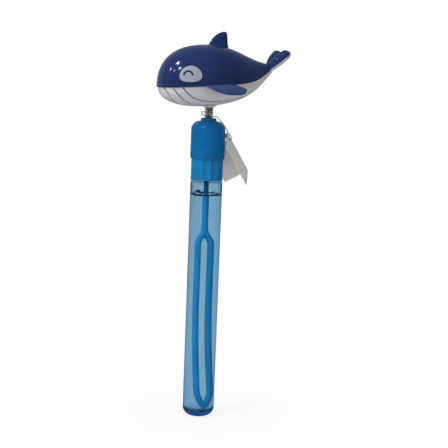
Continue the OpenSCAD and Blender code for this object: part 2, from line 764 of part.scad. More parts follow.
module tag_place() {
    rotate([0, 0, tag_turn]) translate([tag_x, 0, tag_z]) rotate([0, -tag_lean, 0]) children();
}

module tag_card() {
    leaf = [-cos(tag_half), sin(tag_half)];
    inward = tag_t * [-sin(tag_half), -cos(tag_half)];
    far = tag_w * leaf;
    color("white") tag_place() difference() {
        translate([0, 0, -tag_h]) linear_extrude(tag_h) polygon([
            [0, 0], far, far + inward, [-tag_t / sin(tag_half), 0],
            [far[0] + inward[0], -far[1] - inward[1]], [far[0], -far[1]]]);
        for (side = [0, 1])
            mirror([0, side, 0]) translate([hole_in * leaf[0], hole_in * leaf[1], -hole_down])
                rotate([0, 90, 90 - tag_half]) cylinder(h = 4 * tag_t, r = tag_hole_r, center = true);
    }
}

// The loop lies on the collar round the spring, runs down over the dome's shoulder
// and crosses between the leaves through their holes. Points are [outwards, across, up].
hole_x = tag_x + sin(tag_lean) * hole_down - cos(tag_lean) * cos(tag_half) * hole_in;
hole_y = sin(tag_half) * hole_in;
hole_z = tag_z - cos(tag_lean) * hole_down - sin(tag_lean) * cos(tag_half) * hole_in;

strand = [[0, loop_ring_r, loop_z], [collar_r - 1.75, loop_ring_r, loop_z],
          [collar_r + 0.25, 4, dome_top + 1.6], [dome_r - 2.85, 4.2, dome_top - 0.8],
          [dome_r - 0.45, 4.3, dome_top - 3.4], [dome_r + 2.15, 4.5, dome_top - 7],
          [hole_x - 1.6, 4.8, hole_z + 2.5],
          [hole_x - 0.2, hole_y + 1.9, hole_z + 0.5], [hole_x, hole_y, hole_z]];
back_of_ring = [for (a = [-120, -150, 180, 150, 120])
    [loop_ring_r * cos(a), loop_ring_r * sin(a), loop_z - loop_tilt * cos(a)]];
flip_y = [for (i = [len(strand) - 1:-1:0]) [strand[i][0], -strand[i][1], strand[i][2]]];
loop_knots = concat(strand, [[hole_x, 0, hole_z]], flip_y, back_of_ring);
knot_steps = 3;

// Smooth closed curve through the knots
function curve_point(p, i, t) = let (
    n = len(p),
    a = p[(i + n - 1) % n],
    b = p[i],
    c = p[(i + 1) % n],
    d = p[(i + 2) % n])
    0.5 * (2 * b + (c - a) * t + (2 * a - 5 * b + 4 * c - d) * pow(t, 2)
           + (3 * b - a - 3 * c + d) * pow(t, 3));
loop_path = [for (i = [0:len(loop_knots) - 1], s = [0:knot_steps - 1])
    curve_point(loop_knots, i, s / knot_steps)];

function loop_ring(i) = let (
    n = len(loop_path),
    t = unit(loop_path[(i + 1) % n] - loop_path[(i + n - 1) % n]),
    side = unit(cross(t, [0, 0, 1])),
    up = cross(side, t))
    [for (k = [0:loop_sides - 1]) let (a = 360 * k / loop_sides)
        loop_path[i] + loop_r * (cos(a) * side + sin(a) * up)];

module tag_loop() {
    n = len(loop_path);
    m = loop_sides;
    points = [for (i = [0:n - 1]) each loop_ring(i)];
    faces = [for (i = [0:n - 1], j = [0:m - 1]) let (k = (j + 1) % m, next = (i + 1) % n * m)
        each quad(i * m + j, i * m + k, next + k, next + j)];
    color("whitesmoke", 0.6) rotate([0, 0, tag_turn]) polyhedron(points, faces);
}

tube();
seal_washer();
screw_cap();
cap_dome();
wand();
spring_post();
wobble_spring();
spring_plug();
whale_belly();
whale_back();
left_flipper();
right_flipper();
left_eye_patch();
right_eye_patch();
left_eye();
right_eye();
tag_card();
tag_loop();
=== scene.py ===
# %% [markdown]
# # A bubble wand with a nodding whale
#
# This lesson dresses a finished CAD model. The CAD model gives every piece its place and its joints.
# Blender adds what CAD leaves out: smooth skins, soap in the bottle, thread on the neck, gloss and light.
#
# We first load the CAD model as a fixed frame.

# %% Load the frame
from math import atan2, cos, exp, hypot, pi, radians, sin, sqrt

import bmesh
import bpy
from mathutils import Matrix, Vector


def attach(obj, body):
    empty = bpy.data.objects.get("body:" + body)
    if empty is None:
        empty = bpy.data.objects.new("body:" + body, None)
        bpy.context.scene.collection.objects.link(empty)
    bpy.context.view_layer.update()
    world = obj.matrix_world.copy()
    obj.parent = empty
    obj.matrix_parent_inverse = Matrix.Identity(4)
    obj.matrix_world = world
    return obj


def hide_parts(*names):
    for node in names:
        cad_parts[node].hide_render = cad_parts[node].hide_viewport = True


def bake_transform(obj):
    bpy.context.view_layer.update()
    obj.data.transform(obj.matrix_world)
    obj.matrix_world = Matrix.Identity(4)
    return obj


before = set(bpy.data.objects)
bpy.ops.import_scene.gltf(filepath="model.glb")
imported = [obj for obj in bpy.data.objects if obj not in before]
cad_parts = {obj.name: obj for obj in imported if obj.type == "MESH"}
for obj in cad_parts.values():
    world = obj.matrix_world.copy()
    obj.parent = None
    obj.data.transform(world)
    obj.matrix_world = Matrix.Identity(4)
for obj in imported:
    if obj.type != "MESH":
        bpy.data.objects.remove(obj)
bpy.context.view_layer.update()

MM = 0.001
X, Y, Z = Vector((1, 0, 0)), Vector((0, 1, 0)), Vector((0, 0, 1))

# %% [markdown]
# ## Camera
#
# The photograph was taken from a little above, 22.5 degrees to the left of the whale's side,
# with the camera slightly tilted.
# A Track To constraint could aim the camera, but it would take out the tilt.
# We build the camera's three axes from the angles instead, and put them into its matrix as columns.
# A camera looks along its own minus Z, so the third column points back towards the viewer.

# %% Camera
yaw, pitch, roll = radians(22.5), radians(7.42), radians(2.25)
distance, aside, raised = 0.742, 0.01326, 0.233
view_right = Vector((cos(yaw), -sin(yaw), 0))
view_back = Vector((-sin(yaw), -cos(yaw), 0))
view_look = -view_back * cos(pitch) - Z * sin(pitch)
view_up = -view_back * sin(pitch) + Z * cos(pitch)
picture_right = view_right * cos(roll) + view_up * sin(roll)
picture_up = view_up * cos(roll) - view_right * sin(roll)

camera = bpy.data.objects.new("camera", bpy.data.cameras.new("camera"))
camera.data.lens, camera.data.sensor_width = 86.75, 36
stand = Matrix.Translation(view_back * distance + view_right * aside + Z * raised)
camera.matrix_world = stand @ Matrix((picture_right, picture_up, -view_look)).transposed().to_4x4()
bpy.context.collection.objects.link(camera)
bpy.context.scene.camera = camera
bpy.context.scene.view_settings.view_transform = "Standard"
print("camera at", [round(c, 3) for c in camera.location])

# %% [markdown]
# ## Helpers for node trees
#
# Materials and worlds are trees of nodes. `fill` gives a node its inputs: a value is stored in the socket,
# and a socket of another node is linked to it. `node` adds a node and fills it.
# The other helpers each add one kind of node that this file uses often, and return its output.
# Only `linear` adds none: it turns a screen colour into shader values.


# %% Node helpers
def fill(tree, made, inputs):
    """Fills a node's inputs, given as {name or number: a value or another node's output}."""
    for key, value in inputs.items():
        if isinstance(value, bpy.types.NodeSocket):
            tree.links.new(value, made.inputs[key])
        else:
            made.inputs[key].default_value = value


def node(tree, kind, inputs=None, **settings):
    """Adds a node with its settings and inputs."""
    made = tree.nodes.new(kind)
    for key, value in settings.items():
        setattr(made, key, value)
    fill(tree, made, inputs or {})
    return made


def calc(tree, operation, a, b=0.0, clamp=False):
    """One Math node."""
    return node(tree, "ShaderNodeMath", {0: a, 1: b}, operation=operation, use_clamp=clamp).outputs[0]


def remap(tree, value, low, high, to_low=0.0, to_high=1.0):
    """One Map Range node: low to high becomes to_low to to_high."""
    limits = {"From Min": low, "From Max": high, "To Min": to_low, "To Max": to_high}
    return node(tree, "ShaderNodeMapRange", {"Value": value, **limits}).outputs[0]


def noise(tree, place, scale, detail):
    """One Noise texture."""
    return node(tree, "ShaderNodeTexNoise", {"Vector": place, "Scale": scale, "Detail": detail}).outputs[0]


def object_place(tree):
    """The point's own coordinates on its object, in metres."""
    return node(tree, "ShaderNodeTexCoord").outputs["Object"]


def mix_colour(tree, factor, a, b):
    """One Mix node for colours."""
    return node(tree, "ShaderNodeMix", {"Factor": factor, 6: a, 7: b}, data_type="RGBA").outputs[2]


def ramp(tree, value, stops):
    """A Color Ramp through (position, colour) stops."""
    made = node(tree, "ShaderNodeValToRGB", {"Fac": value})
    while len(made.color_ramp.elements) < len(stops):
        made.color_ramp.elements.new(1)
    for element, (position, colour) in zip(made.color_ramp.elements, stops):
        element.position, element.color = position, (*colour, 1)
    return made.outputs["Color"]


def linear(red, green, blue):
    """A colour as read from a screen, 0 to 255, turned into the linear values that shaders use."""
    return tuple((c / 3294.6 if c <= 10 else ((c / 255 + 0.055) / 1.055) ** 2.4) for c in (red, green, blue))


print("node helpers ready")

# %% [markdown]
# ## Studio
#
# A panorama picture could light the toy, but a plain world with a few masks needs no image.
# The background is white for the camera and for rays that go straight through clear plastic.
# Mirrored rays find a dim studio, a little brighter towards the far side and inside clear plastic,
# so dark plastic stays dark and only the small lamps glint in it.
# `ray_masks` reads the Light Path node for that. The floor uses it too.


# %% World
def ray_masks(tree):
    """Masks for rays that were mirrored, that met clear plastic, and that look straight at the background."""
    path = node(tree, "ShaderNodeLightPath").outputs
    mirrored = calc(tree, "GREATER_THAN", path["Glossy Depth"], 0.5)
    inside = calc(tree, "GREATER_THAN", path["Transmission Depth"], 0.5)
    straight = calc(tree, "SUBTRACT", path["Is Transmission Ray"], mirrored, clamp=True)
    return mirrored, inside, calc(tree, "MAXIMUM", path["Is Camera Ray"], straight)


WHITE, ROOM, MIRRORED_ROOM = (1, 1, 1, 1), (0.27, 0.285, 0.3, 1), (0.045, 0.07, 0.11, 1)
FAR_SHARE, INSIDE_SHARE, FAR_FROM, FAR_TO = 0.25, 0.5, -0.1, 0.7
world = bpy.data.worlds.new("studio")
bpy.context.scene.world = world
world.use_nodes = True
sky = world.node_tree
sky.nodes.clear()
mirrored, inside, seen = ray_masks(sky)
towards = node(sky, "ShaderNodeTexCoord").outputs["Generated"]
away = node(sky, "ShaderNodeVectorMath", {0: towards, 1: -view_back}, operation="DOT_PRODUCT").outputs["Value"]
share = calc(sky, "ADD", FAR_SHARE, calc(sky, "MULTIPLY", inside, INSIDE_SHARE))
far_side = remap(sky, away, FAR_FROM, FAR_TO)
glance = calc(sky, "MULTIPLY", calc(sky, "MULTIPLY", mirrored, share), far_side)
white = calc(sky, "MAXIMUM", seen, glance)
room = mix_colour(sky, mirrored, ROOM, MIRRORED_ROOM)
dim = node(sky, "ShaderNodeBackground", {"Color": room, "Strength": 1})
bright = node(sky, "ShaderNodeBackground", {"Color": WHITE, "Strength": 1})
blend = node(sky, "ShaderNodeMixShader", {0: white, 1: dim.outputs[0], 2: bright.outputs[0]})
node(sky, "ShaderNodeOutputWorld", {"Surface": blend.outputs[0]})
print("world:", len(sky.nodes), "nodes")

# %% [markdown]
# The floor is a wide disc of white paper. A plane would do as well, but a disc has no corner that could show.
# Near the toy it is partly matte and keeps the shadow, and further out it glows evenly white.
# Mirrored rays find it dim, like the studio.

# %% Floor
PAPER, MIRRORED_PAPER, INSIDE_PAPER = (0.9, 0.9, 0.9, 1), (0.15, 0.24, 0.37, 1), (0.5, 0.65, 0.8, 1)
SHADOW_FROM, SHADOW_TO, SHADOW_SHARE = 0.03, 0.11, 0.13
floor_bm = bmesh.new()
bmesh.ops.create_circle(floor_bm, cap_ends=True, segments=64, radius=6)
floor_mesh = bpy.data.meshes.new("floor")
floor_bm.to_mesh(floor_mesh)
floor_bm.free()
floor = bpy.data.objects.new("floor", floor_mesh)
bpy.context.collection.objects.link(floor)

paper = bpy.data.materials.new("floor_paper")
paper.use_nodes = True
tree = paper.node_tree
tree.nodes.clear()
mirrored, inside, seen = ray_masks(tree)
reach = node(tree, "ShaderNodeVectorMath", {0: object_place(tree)}, operation="LENGTH").outputs["Value"]
near = remap(tree, reach, SHADOW_FROM, SHADOW_TO, SHADOW_SHARE, 0)
image = mix_colour(tree, inside, MIRRORED_PAPER, INSIDE_PAPER)
matte = node(tree, "ShaderNodeBsdfDiffuse", {"Color": mix_colour(tree, mirrored, PAPER, image)})
glow = node(tree, "ShaderNodeEmission", {"Color": WHITE, "Strength": 1})
lit = node(tree, "ShaderNodeMixShader", {0: near, 1: glow.outputs[0], 2: matte.outputs[0]})
both = node(tree, "ShaderNodeMixShader", {0: seen, 1: matte.outputs[0], 2: lit.outputs[0]})
node(tree, "ShaderNodeOutputMaterial", {"Surface": both.outputs[0]})
floor_mesh.materials.append(paper)
print("floor:", round(floor.dimensions.x, 1), "m across")

# %% [markdown]
# Point lamps would give hard shadows, so the lamps here are round and have a size.
# A large one on the left gives the main light, a weaker one fills the right side, and one hangs overhead.
# They are hidden from mirrored and bent rays. Four small lamps stand where the whale's round head
# mirrors them to the camera: their images are the bright glints beside its eye.


# %% Lamps
def lamp(name, place, target, size, watts, mirrored=False):
    """A round area lamp at place, aimed at target."""
    data = bpy.data.lights.new(name, "AREA")
    data.shape, data.size, data.energy = "DISK", size, watts
    made = bpy.data.objects.new(name, data)
    made.location = place
    made.rotation_euler = (Vector(place) - Vector(target)).to_track_quat("Z", "Y").to_euler()
    made.visible_glossy, made.visible_transmission = mirrored, False
    bpy.context.collection.objects.link(made)


middle = Vector((0, 0, 0.18))
lamp("key", middle - view_right * 0.75 + view_back * 0.55 + Z * 0.45, middle, 0.5, 5)
lamp("fill", middle + view_right * 0.9 + view_back * 0.6 + Z * 0.2, middle, 0.7, 1.1)
lamp("top", middle + Z * 0.95 + view_back * 0.1, middle, 0.6, 2.7)

head = Vector((-0.028, -0.011, 0.244))
lamp("glint_high", (-0.385, -0.115, 0.716), head, 0.09, 0.55, mirrored=True)
lamp("glint_left", (-0.542, 0.007, 0.557), head, 0.06, 0.22, mirrored=True)
lamp("glint_right", (-0.386, -0.318, 0.615), head, 0.065, 0.26, mirrored=True)
lamp("glint_low", (-0.511, -0.196, 0.55), head, 0.035, 0.07, mirrored=True)

# %% [markdown]
# ## Helpers for shapes
#
# Three helpers, each built on a mesh operator, make almost everything here.
# `spun` turns a profile round the Z axis, as a lathe does.
# `swept` starts with a circle and extrudes its edge along a path, ring by ring.
# `sheet` lays a grid over a curved form: each grid point asks a function for its place.


# %% Shape helpers
def spun(profile, steps=128, closed=True):
    """Spins a profile of (radius, height) points, in mm, once round Z."""
    bm = bmesh.new()
    verts = [bm.verts.new((r * MM, 0, z * MM)) for r, z in profile]
    edges = [bm.edges.new(pair) for pair in zip(verts, verts[1:])]
    if closed:
        edges.append(bm.edges.new((verts[-1], verts[0])))
    bmesh.ops.spin(
        bm, geom=verts + edges, cent=(0, 0, 0), axis=(0, 0, 1), angle=2 * pi, steps=steps, use_merge=True)
    bmesh.ops.remove_doubles(bm, verts=bm.verts, dist=1e-6)
    return bm


def swept(points, radius, sides, across, closed=False):
    """Sweeps a circle of radius(i) along points, in mm. across(i) is any direction off the path."""
    count = len(points)

    def station(i):
        ahead = points[(i + 1) % count] if closed else points[min(i + 1, count - 1)]
        behind = points[i - 1] if closed else points[max(i - 1, 0)]
        along = (ahead - behind).normalized()
        side = (across(i) - along * across(i).dot(along)).normalized()
        turn = Matrix((side, along.cross(side), along)).transposed().to_4x4()
        size = Matrix.Diagonal((radius(i) * MM, radius(i) * MM, 1, 1))
        return Matrix.Translation(points[i] * MM) @ turn @ size

    bm = bmesh.new()
    bmesh.ops.create_circle(bm, segments=sides, radius=1, matrix=station(0), cap_ends=not closed)
    first = ring = list(bm.edges)
    for i in range(1, count):
        made = bmesh.ops.extrude_edge_only(bm, edges=ring)["geom"]
        verts = {g for g in made if isinstance(g, bmesh.types.BMVert)}
        ring = [g for g in made if isinstance(g, bmesh.types.BMEdge) and set(g.verts) <= verts]
        bmesh.ops.transform(bm, matrix=station(i) @ station(i - 1).inverted(), verts=list(verts))
    if closed:
        bmesh.ops.bridge_loops(bm, edges=first + ring)
    else:
        bmesh.ops.contextual_create(bm, geom=ring)
    return bm


def sheet(columns, rows, place):
    """Lays a grid over a form. place(u, v) gives a point in mm for u and v from 0 to 1."""
    bm = bmesh.new()
    bmesh.ops.create_grid(bm, x_segments=columns, y_segments=rows, size=1)
    for v in bm.verts:
        v.co = place((v.co.x + 1) / 2, (v.co.y + 1) / 2) * MM
    bmesh.ops.remove_doubles(bm, verts=bm.verts, dist=1e-6)
    return bm


def round_axis(radius, angle, height):
    """A point at an angle round the Z axis."""
    return Vector((radius * cos(angle), radius * sin(angle), height))


def arc(cx, cz, rx, rz, start, end, steps):
    """Points of an elliptic arc in a profile, angles in degrees."""
    turns = [radians(start + (end - start) * i / steps) for i in range(steps + 1)]
    return [(cx + rx * cos(a), cz + rz * sin(a)) for a in turns]


print("shape helpers ready")

# %% [markdown]
# `join` pours one shape into another, so that pieces moulded in one go stay one object.
# `piece` makes the finished object: normals point outwards, smooth shading with sharp edges kept,
# a material, and the CAD body that it rides on.


# %% Object helpers
def join(*parts):
    """One bmesh from several."""
    whole = bmesh.new()
    for part in parts:
        bmesh.ops.recalc_face_normals(part, faces=part.faces)
        scratch = bpy.data.meshes.new("scratch")
        part.to_mesh(scratch)
        part.free()
        whole.from_mesh(scratch)
        bpy.data.meshes.remove(scratch)
    return whole


def smooth(mesh, sharp):
    """Smooth shading that keeps edges sharper than an angle in degrees."""
    mesh.shade_smooth()
    mesh.set_sharp_from_angle(angle=radians(sharp))


def piece(name, bm, material, body, nodes=(), sharp=35):
    """Turns a bmesh into a named piece that rides on a body and stands for CAD nodes."""
    bmesh.ops.recalc_face_normals(bm, faces=bm.faces)
    mesh = bpy.data.meshes.new(name)
    bm.to_mesh(mesh)
    bm.free()
    mesh.materials.append(material)
    smooth(mesh, sharp)
    made = bpy.data.objects.new(name, mesh)
    bpy.context.collection.objects.link(made)
    if body:
        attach(made, body)
    if nodes:
        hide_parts(*nodes)
    print(name, len(mesh.polygons), "faces")
    return made


print("object helpers ready")

# %% [markdown]
# ## Shared effects
#
# Every plastic here was moulded. Each material could hold its own copy of that finish,
# but one node group keeps them alike, and a change is made once.
# Slow noise drifts the colour between two shades, as pigment does in a mould.
# Fine noise varies the roughness, and stretched noise leaves faint handling marks.
# The group only gives out colours and values. Each material feeds them to its own shader.


# %% Moulded finish group
def new_group(name, inputs, outputs):
    """A shader node group with sockets given as {name: (type, default)}."""
    group = bpy.data.node_groups.new(name, "ShaderNodeTree")
    for label, (kind, default) in inputs.items():
        socket = group.interface.new_socket(label, in_out="INPUT", socket_type=kind)
        socket.default_value = default
    for label, kind in outputs.items():
        group.interface.new_socket(label, in_out="OUTPUT", socket_type=kind)
    return group, node(group, "NodeGroupInput").outputs, node(group, "NodeGroupOutput")


COLOUR, VALUE = "NodeSocketColor", "NodeSocketFloat"
moulded, given, result = new_group(
    "moulded_finish",
    {"Colour": (COLOUR, WHITE), "Shade": (COLOUR, (0.8, 0.8, 0.8, 1)),
     "Gloss": (VALUE, 0.2), "Drift": (VALUE, 50)},
    {"Colour": COLOUR, "Roughness": VALUE, "Height": VALUE})
place = object_place(moulded)
drift = remap(moulded, noise(moulded, place, given["Drift"], 3), 0.35, 0.65)
along = {"Vector": place, "Scale": (900, 900, 45), "Rotation": (0.3, 0.5, 0)}
marks = noise(moulded, node(moulded, "ShaderNodeMapping", along).outputs[0], 1, 4)
marks = remap(moulded, marks, 0.58, 0.75, 0, 0.04)
fine = calc(moulded, "MULTIPLY", calc(moulded, "SUBTRACT", noise(moulded, place, 300, 2), 0.5), 0.05)
rough = calc(moulded, "ADD", calc(moulded, "ADD", given["Gloss"], fine), marks, clamp=True)
colour = mix_colour(moulded, drift, given["Colour"], given["Shade"])
fill(moulded, result, {"Colour": colour, "Roughness": rough, "Height": noise(moulded, place, 420, 1)})
print("moulded finish:", len(moulded.nodes), "nodes")

# %% [markdown]
# ## Materials
#
# `plastic` builds an opaque plastic from the group, so that all mouldings share one finish.
# Constants such as the mirror level are set on the shader itself.
# The bump is tiny: the orange-peel skin of a glossy moulding is a few thousandths of a millimetre deep.


# %% Opaque plastics
def new_material(name):
    """An empty material with a Principled shader on its output."""
    made = bpy.data.materials.new(name)
    made.use_nodes = True
    made.node_tree.nodes.clear()
    shader = node(made.node_tree, "ShaderNodeBsdfPrincipled")
    node(made.node_tree, "ShaderNodeOutputMaterial", {"Surface": shader.outputs[0]})
    return made, made.node_tree, shader


def plastic(name, colour, shade, gloss=0.2, drift=50, peel=0.08, mirror=0.5):
    """Moulded plastic between two screen colours."""
    made, tree, shader = new_material(name)
    look = {"Colour": (*linear(*colour), 1), "Shade": (*linear(*shade), 1), "Gloss": gloss, "Drift": drift}
    finish = node(tree, "ShaderNodeGroup", look, node_tree=moulded).outputs
    skin = node(tree, "ShaderNodeBump", {"Height": finish["Height"], "Strength": peel, "Distance": 0.0002})
    fill(tree, shader, {"Base Color": finish["Colour"], "Roughness": finish["Roughness"]})
    fill(tree, shader, {"Normal": skin.outputs[0], "Specular IOR Level": mirror})
    return made


navy = plastic("whale_navy", (36, 53, 97), (33, 48, 90), gloss=0.11, peel=0.015)
flipper_blue = plastic("flipper_blue", (50, 71, 117), (45, 64, 106), gloss=0.12)
patch_white = plastic("patch_white", (165, 169, 186), (158, 162, 179), gloss=0.3)
eye_black = plastic("eye_black", (24, 26, 38), (18, 20, 30), gloss=0.3)
ring_blue = plastic("ring_blue", (8, 123, 183), (6, 111, 169), gloss=0.3)
dome_blue = plastic("dome_blue", (14, 105, 165), (12, 95, 153), gloss=0.13)
wand_blue = plastic("wand_blue", (14, 184, 230), (12, 172, 218), gloss=0.3, peel=0.015, mirror=0.1)
belly_white = plastic("belly_white", (211, 205, 208), (203, 198, 202), gloss=0.2)
print("plastics:", [m.name for m in bpy.data.materials])

# %% [markdown]
# The white shell's throat grooves get painted shade: their colour turns grey where they are deep. It could be
# painted on an image.
# Here we later store how deep each point lies in a groove as an attribute on the mesh,
# and the material reads it and mixes its colour towards grey. So the painted shade always follows the grooves.


# %% Painted shade in the grooves
def recolour(made, mask, colour):
    """Mixes a material's colour towards a screen colour where the mask is 1."""
    tree = made.node_tree
    shader = next(n for n in tree.nodes if n.type == "BSDF_PRINCIPLED")
    clean = shader.inputs["Base Color"].links[0].from_socket
    fill(tree, shader, {"Base Color": mix_colour(tree, mask, clean, (*linear(*colour), 1))})


tree = belly_white.node_tree
depth = node(tree, "ShaderNodeAttribute", attribute_name="groove_depth").outputs["Fac"]
# painted shade: the belly turns grey where a groove is deep
recolour(belly_white, depth, (112, 108, 110))
print("belly reads", [n.attribute_name for n in tree.nodes if n.type == "ATTRIBUTE"])

# %% [markdown]
# In the photograph the wand looks darker where it leaves the soap, in the cap's shade. A second piece would
# show a joint there, so a mask on the height paints that shade in: it deepens the colour above the soap's
# level.

# %% Painted shade on the wand above the soap
LEVEL, BORE_R = 156.4, 9.9
tree = wand_blue.node_tree
height = node(tree, "ShaderNodeSeparateXYZ", {0: object_place(tree)}).outputs["Z"]
painted_cap_shade = remap(tree, height, (LEVEL - 0.9) * MM, (LEVEL + 1.1) * MM)
# painted shade: the stem turns darker above the soap, where the cap shades it
recolour(wand_blue, painted_cap_shade, (12, 112, 160))
print("wand:", len(tree.nodes), "nodes")

# %% [markdown]
# Clear plastic tints light in two ways. Its base colour acts once for each surface that the light crosses,
# and the absorbing volume acts along the way, so that edges and the thick foot turn dark navy.
# A mask on the height makes the foot bluer.
# The soap water bends light like water. Where it climbs the wall it looks dark,
# so a mask paints that dark line in as shade: it deepens the colour there.
# Lamps can't see through bent glass, so for shadow rays both turn into plain tinted transparency.


# %% Clear materials
def let_light_through(made, shader, colour):
    """Mixes in transparency for shadow rays only, and returns the material's output node."""
    tree = made.node_tree
    output = next(n for n in tree.nodes if n.type == "OUTPUT_MATERIAL")
    through = node(tree, "ShaderNodeBsdfTransparent", {"Color": (*colour, 1)})
    shadow = node(tree, "ShaderNodeLightPath").outputs["Is Shadow Ray"]
    both = node(tree, "ShaderNodeMixShader", {0: shadow, 1: shader.outputs[0], 2: through.outputs[0]})
    fill(tree, output, {"Surface": both.outputs[0]})
    return output


FOOT_TINT, FOOT_FROM, FOOT_TO, FOOT_SHARE = (0.36, 0.74, 1, 1), 0.004, 0.0075, 0.5
clear_tube, tree, shader = new_material("clear_tube")
place = object_place(tree)
flow = node(tree, "ShaderNodeMapping", {"Vector": place, "Scale": (160, 160, 12)}).outputs[0]
ripple = noise(tree, flow, 1, 2)
wall = node(tree, "ShaderNodeBump", {"Height": ripple, "Strength": 0.1, "Distance": 0.0005}).outputs[0]
tint = ramp(tree, ripple, [(0.3, (0.55, 0.717, 0.812)), (0.7, (0.59, 0.752, 0.837))])
height = node(tree, "ShaderNodeSeparateXYZ", {0: place}).outputs["Z"]
foot = remap(tree, height, FOOT_FROM, FOOT_TO, FOOT_SHARE, 0)
tint = mix_colour(tree, foot, tint, FOOT_TINT)
smear = remap(tree, noise(tree, place, 70, 4), 0.5, 0.8, 0, 0.05)
fill(tree, shader, {"Base Color": tint, "Normal": wall, "Roughness": smear})
fill(tree, shader, {"Transmission Weight": 1, "IOR": 1.5})
output = let_light_through(clear_tube, shader, (0.82, 0.92, 0.96))
pigment = node(tree, "ShaderNodeVolumeAbsorption", {"Color": (0.05, 0.43, 0.68, 1), "Density": 200})
fill(tree, output, {"Volume": pigment.outputs[0]})

MENISCUS_SHADE = (0.02, 0.06, 0.2, 1)
soap, tree, shader = new_material("soap_water")
place = object_place(tree)
pale = ramp(tree, noise(tree, place, 25, 2), [(0.3, (0.96, 0.985, 1)), (0.7, (0.92, 0.97, 0.995))])
height = node(tree, "ShaderNodeSeparateXYZ", {0: place}).outputs["Z"]
out_from_axis = node(tree, "ShaderNodeVectorMath", {0: place, 1: (1, 1, 0)}, operation="MULTIPLY").outputs[0]
reach = node(tree, "ShaderNodeVectorMath", {0: out_from_axis}, operation="LENGTH").outputs["Value"]
climb = remap(tree, height, (LEVEL - 0.3) * MM, (LEVEL + 0.1) * MM)
# painted shade: the soap turns dark navy where it climbs the wall
edge = calc(tree, "MULTIPLY", climb, remap(tree, reach, (BORE_R - 1) * MM, (BORE_R - 0.6) * MM))
fill(tree, shader, {"Base Color": mix_colour(tree, edge, pale, MENISCUS_SHADE), "Roughness": 0})
fill(tree, shader, {"Transmission Weight": 1, "IOR": 1.33})
let_light_through(soap, shader, (0.95, 0.98, 1))
print("clear materials: tube and soap")

# %% [markdown]
# Spring wire is dull steel with fine drawing marks. The card and the washer are matte,
# with paper fibre or foam in their bump. The nylon of the tag's loop lets part of the light through.

# %% Steel, foam, card and nylon
steel, tree, shader = new_material("spring_steel")
place = object_place(tree)
stain = ramp(tree, noise(tree, place, 260, 2), [(0.35, (0.42, 0.36, 0.33)), (0.65, (0.62, 0.55, 0.52))])
grain = remap(tree, noise(tree, place, 1800, 3), 0, 1, 0.18, 0.42)
fill(tree, shader, {"Base Color": stain, "Roughness": grain, "Metallic": 0.7})


def soft_matte(name, colour, shade, scale, depth, rough):
    """A matte material with a fibrous or foamy surface."""
    made, tree, shader = new_material(name)
    weave = {"Vector": object_place(tree), "Scale": scale, "Detail": 5, "Roughness": 0.7}
    fibre = node(tree, "ShaderNodeTexNoise", weave).outputs[0]
    bump = node(tree, "ShaderNodeBump", {"Height": fibre, "Strength": 0.35, "Distance": depth}).outputs[0]
    tone = ramp(tree, fibre, [(0.35, linear(*shade)), (0.6, linear(*colour))])
    fill(tree, shader, {"Base Color": tone, "Normal": bump, "Roughness": rough})
    return made


tag_card = soft_matte("tag_card", (245, 240, 232), (235, 230, 222), 900, 0.00006, 0.6)
washer_foam = soft_matte("washer_foam", (226, 226, 222), (205, 205, 200), 1500, 0.0002, 0.9)

nylon, tree, shader = new_material("loop_nylon")
milk = noise(tree, object_place(tree), 300, 2)
milk = ramp(tree, milk, [(0.3, (0.66, 0.67, 0.69)), (0.7, (0.78, 0.79, 0.8))])
fill(tree, shader, {"Base Color": milk, "Roughness": 0.2, "Transmission Weight": 0.6})
print("materials in all:", len(bpy.data.materials))

# %% [markdown]
# ## Bottle
#
# The real bottle is one clear moulding with a thick foot, a shoulder and a threaded neck.
# It could be cut out of a cylinder. A spun profile is cleaner, because one line up the outside
# and down the inside gives wall, foot and neck at once.
# The neck's thread is a thin ridge swept along a helix. It shows when the cap is off.

# %% Tube
TUBE_R, TUBE_H, FOOT_T, FOOT_ROUND, INNER_ROUND = 11, 165.2, 4.2, 6, 3
NECK_R, NECK_BORE_R, SHOULDER_Z, RIM_Z, RIM_ROUND = 9.4, 8.3, 166.4, 180.4, 0.3
SHOULDER_IN, SHOULDER_H = 1.1, 1.2
outside = [(0, 0.3), (4, 0.15)] + arc(TUBE_R - FOOT_ROUND, FOOT_ROUND, FOOT_ROUND, FOOT_ROUND, -90, 0, 20)
outside += [(TUBE_R, 20 * i) for i in range(1, 9)]
outside += arc(TUBE_R - SHOULDER_IN, TUBE_H, SHOULDER_IN, SHOULDER_H, 0, 90, 8)
outside += [(NECK_R + 0.15, SHOULDER_Z), (NECK_R, SHOULDER_Z + 0.15), (NECK_R, RIM_Z - RIM_ROUND)]
outside += arc(NECK_R - RIM_ROUND, RIM_Z - RIM_ROUND, RIM_ROUND, RIM_ROUND, 30, 90, 3)
inside = arc(NECK_BORE_R + RIM_ROUND, RIM_Z - RIM_ROUND, RIM_ROUND, RIM_ROUND, 90, 180, 3)
inside += arc(NECK_BORE_R, TUBE_H - 0.3, BORE_R - NECK_BORE_R, SHOULDER_H, 90, 0, 10)
inside += [(BORE_R, 20 * i) for i in range(8, 0, -1)]
inside += arc(BORE_R - INNER_ROUND, FOOT_T + INNER_ROUND, INNER_ROUND, INNER_ROUND, 0, -90, 10) + [(0, FOOT_T)]
tube_bm = spun(outside + inside, closed=False)

THREAD_R, THREAD_Z, THREAD_PITCH, THREAD_TURNS = 9.38, 169, 3.2, 2
turns = [i / 24 for i in range(24 * THREAD_TURNS + 1)]
helix = [round_axis(THREAD_R, 2 * pi * t, THREAD_Z + THREAD_PITCH * t) for t in turns]
fade = [min(1, 4 * t, 4 * (THREAD_TURNS - t)) for t in turns]
thread_bm = swept(helix, lambda i: 0.04 + 0.16 * fade[i], 8, lambda i: helix[i] - Z * helix[i].z)
piece("clear_tube", join(tube_bm, thread_bm), clear_tube, "bottle", ["tube"], sharp=50)

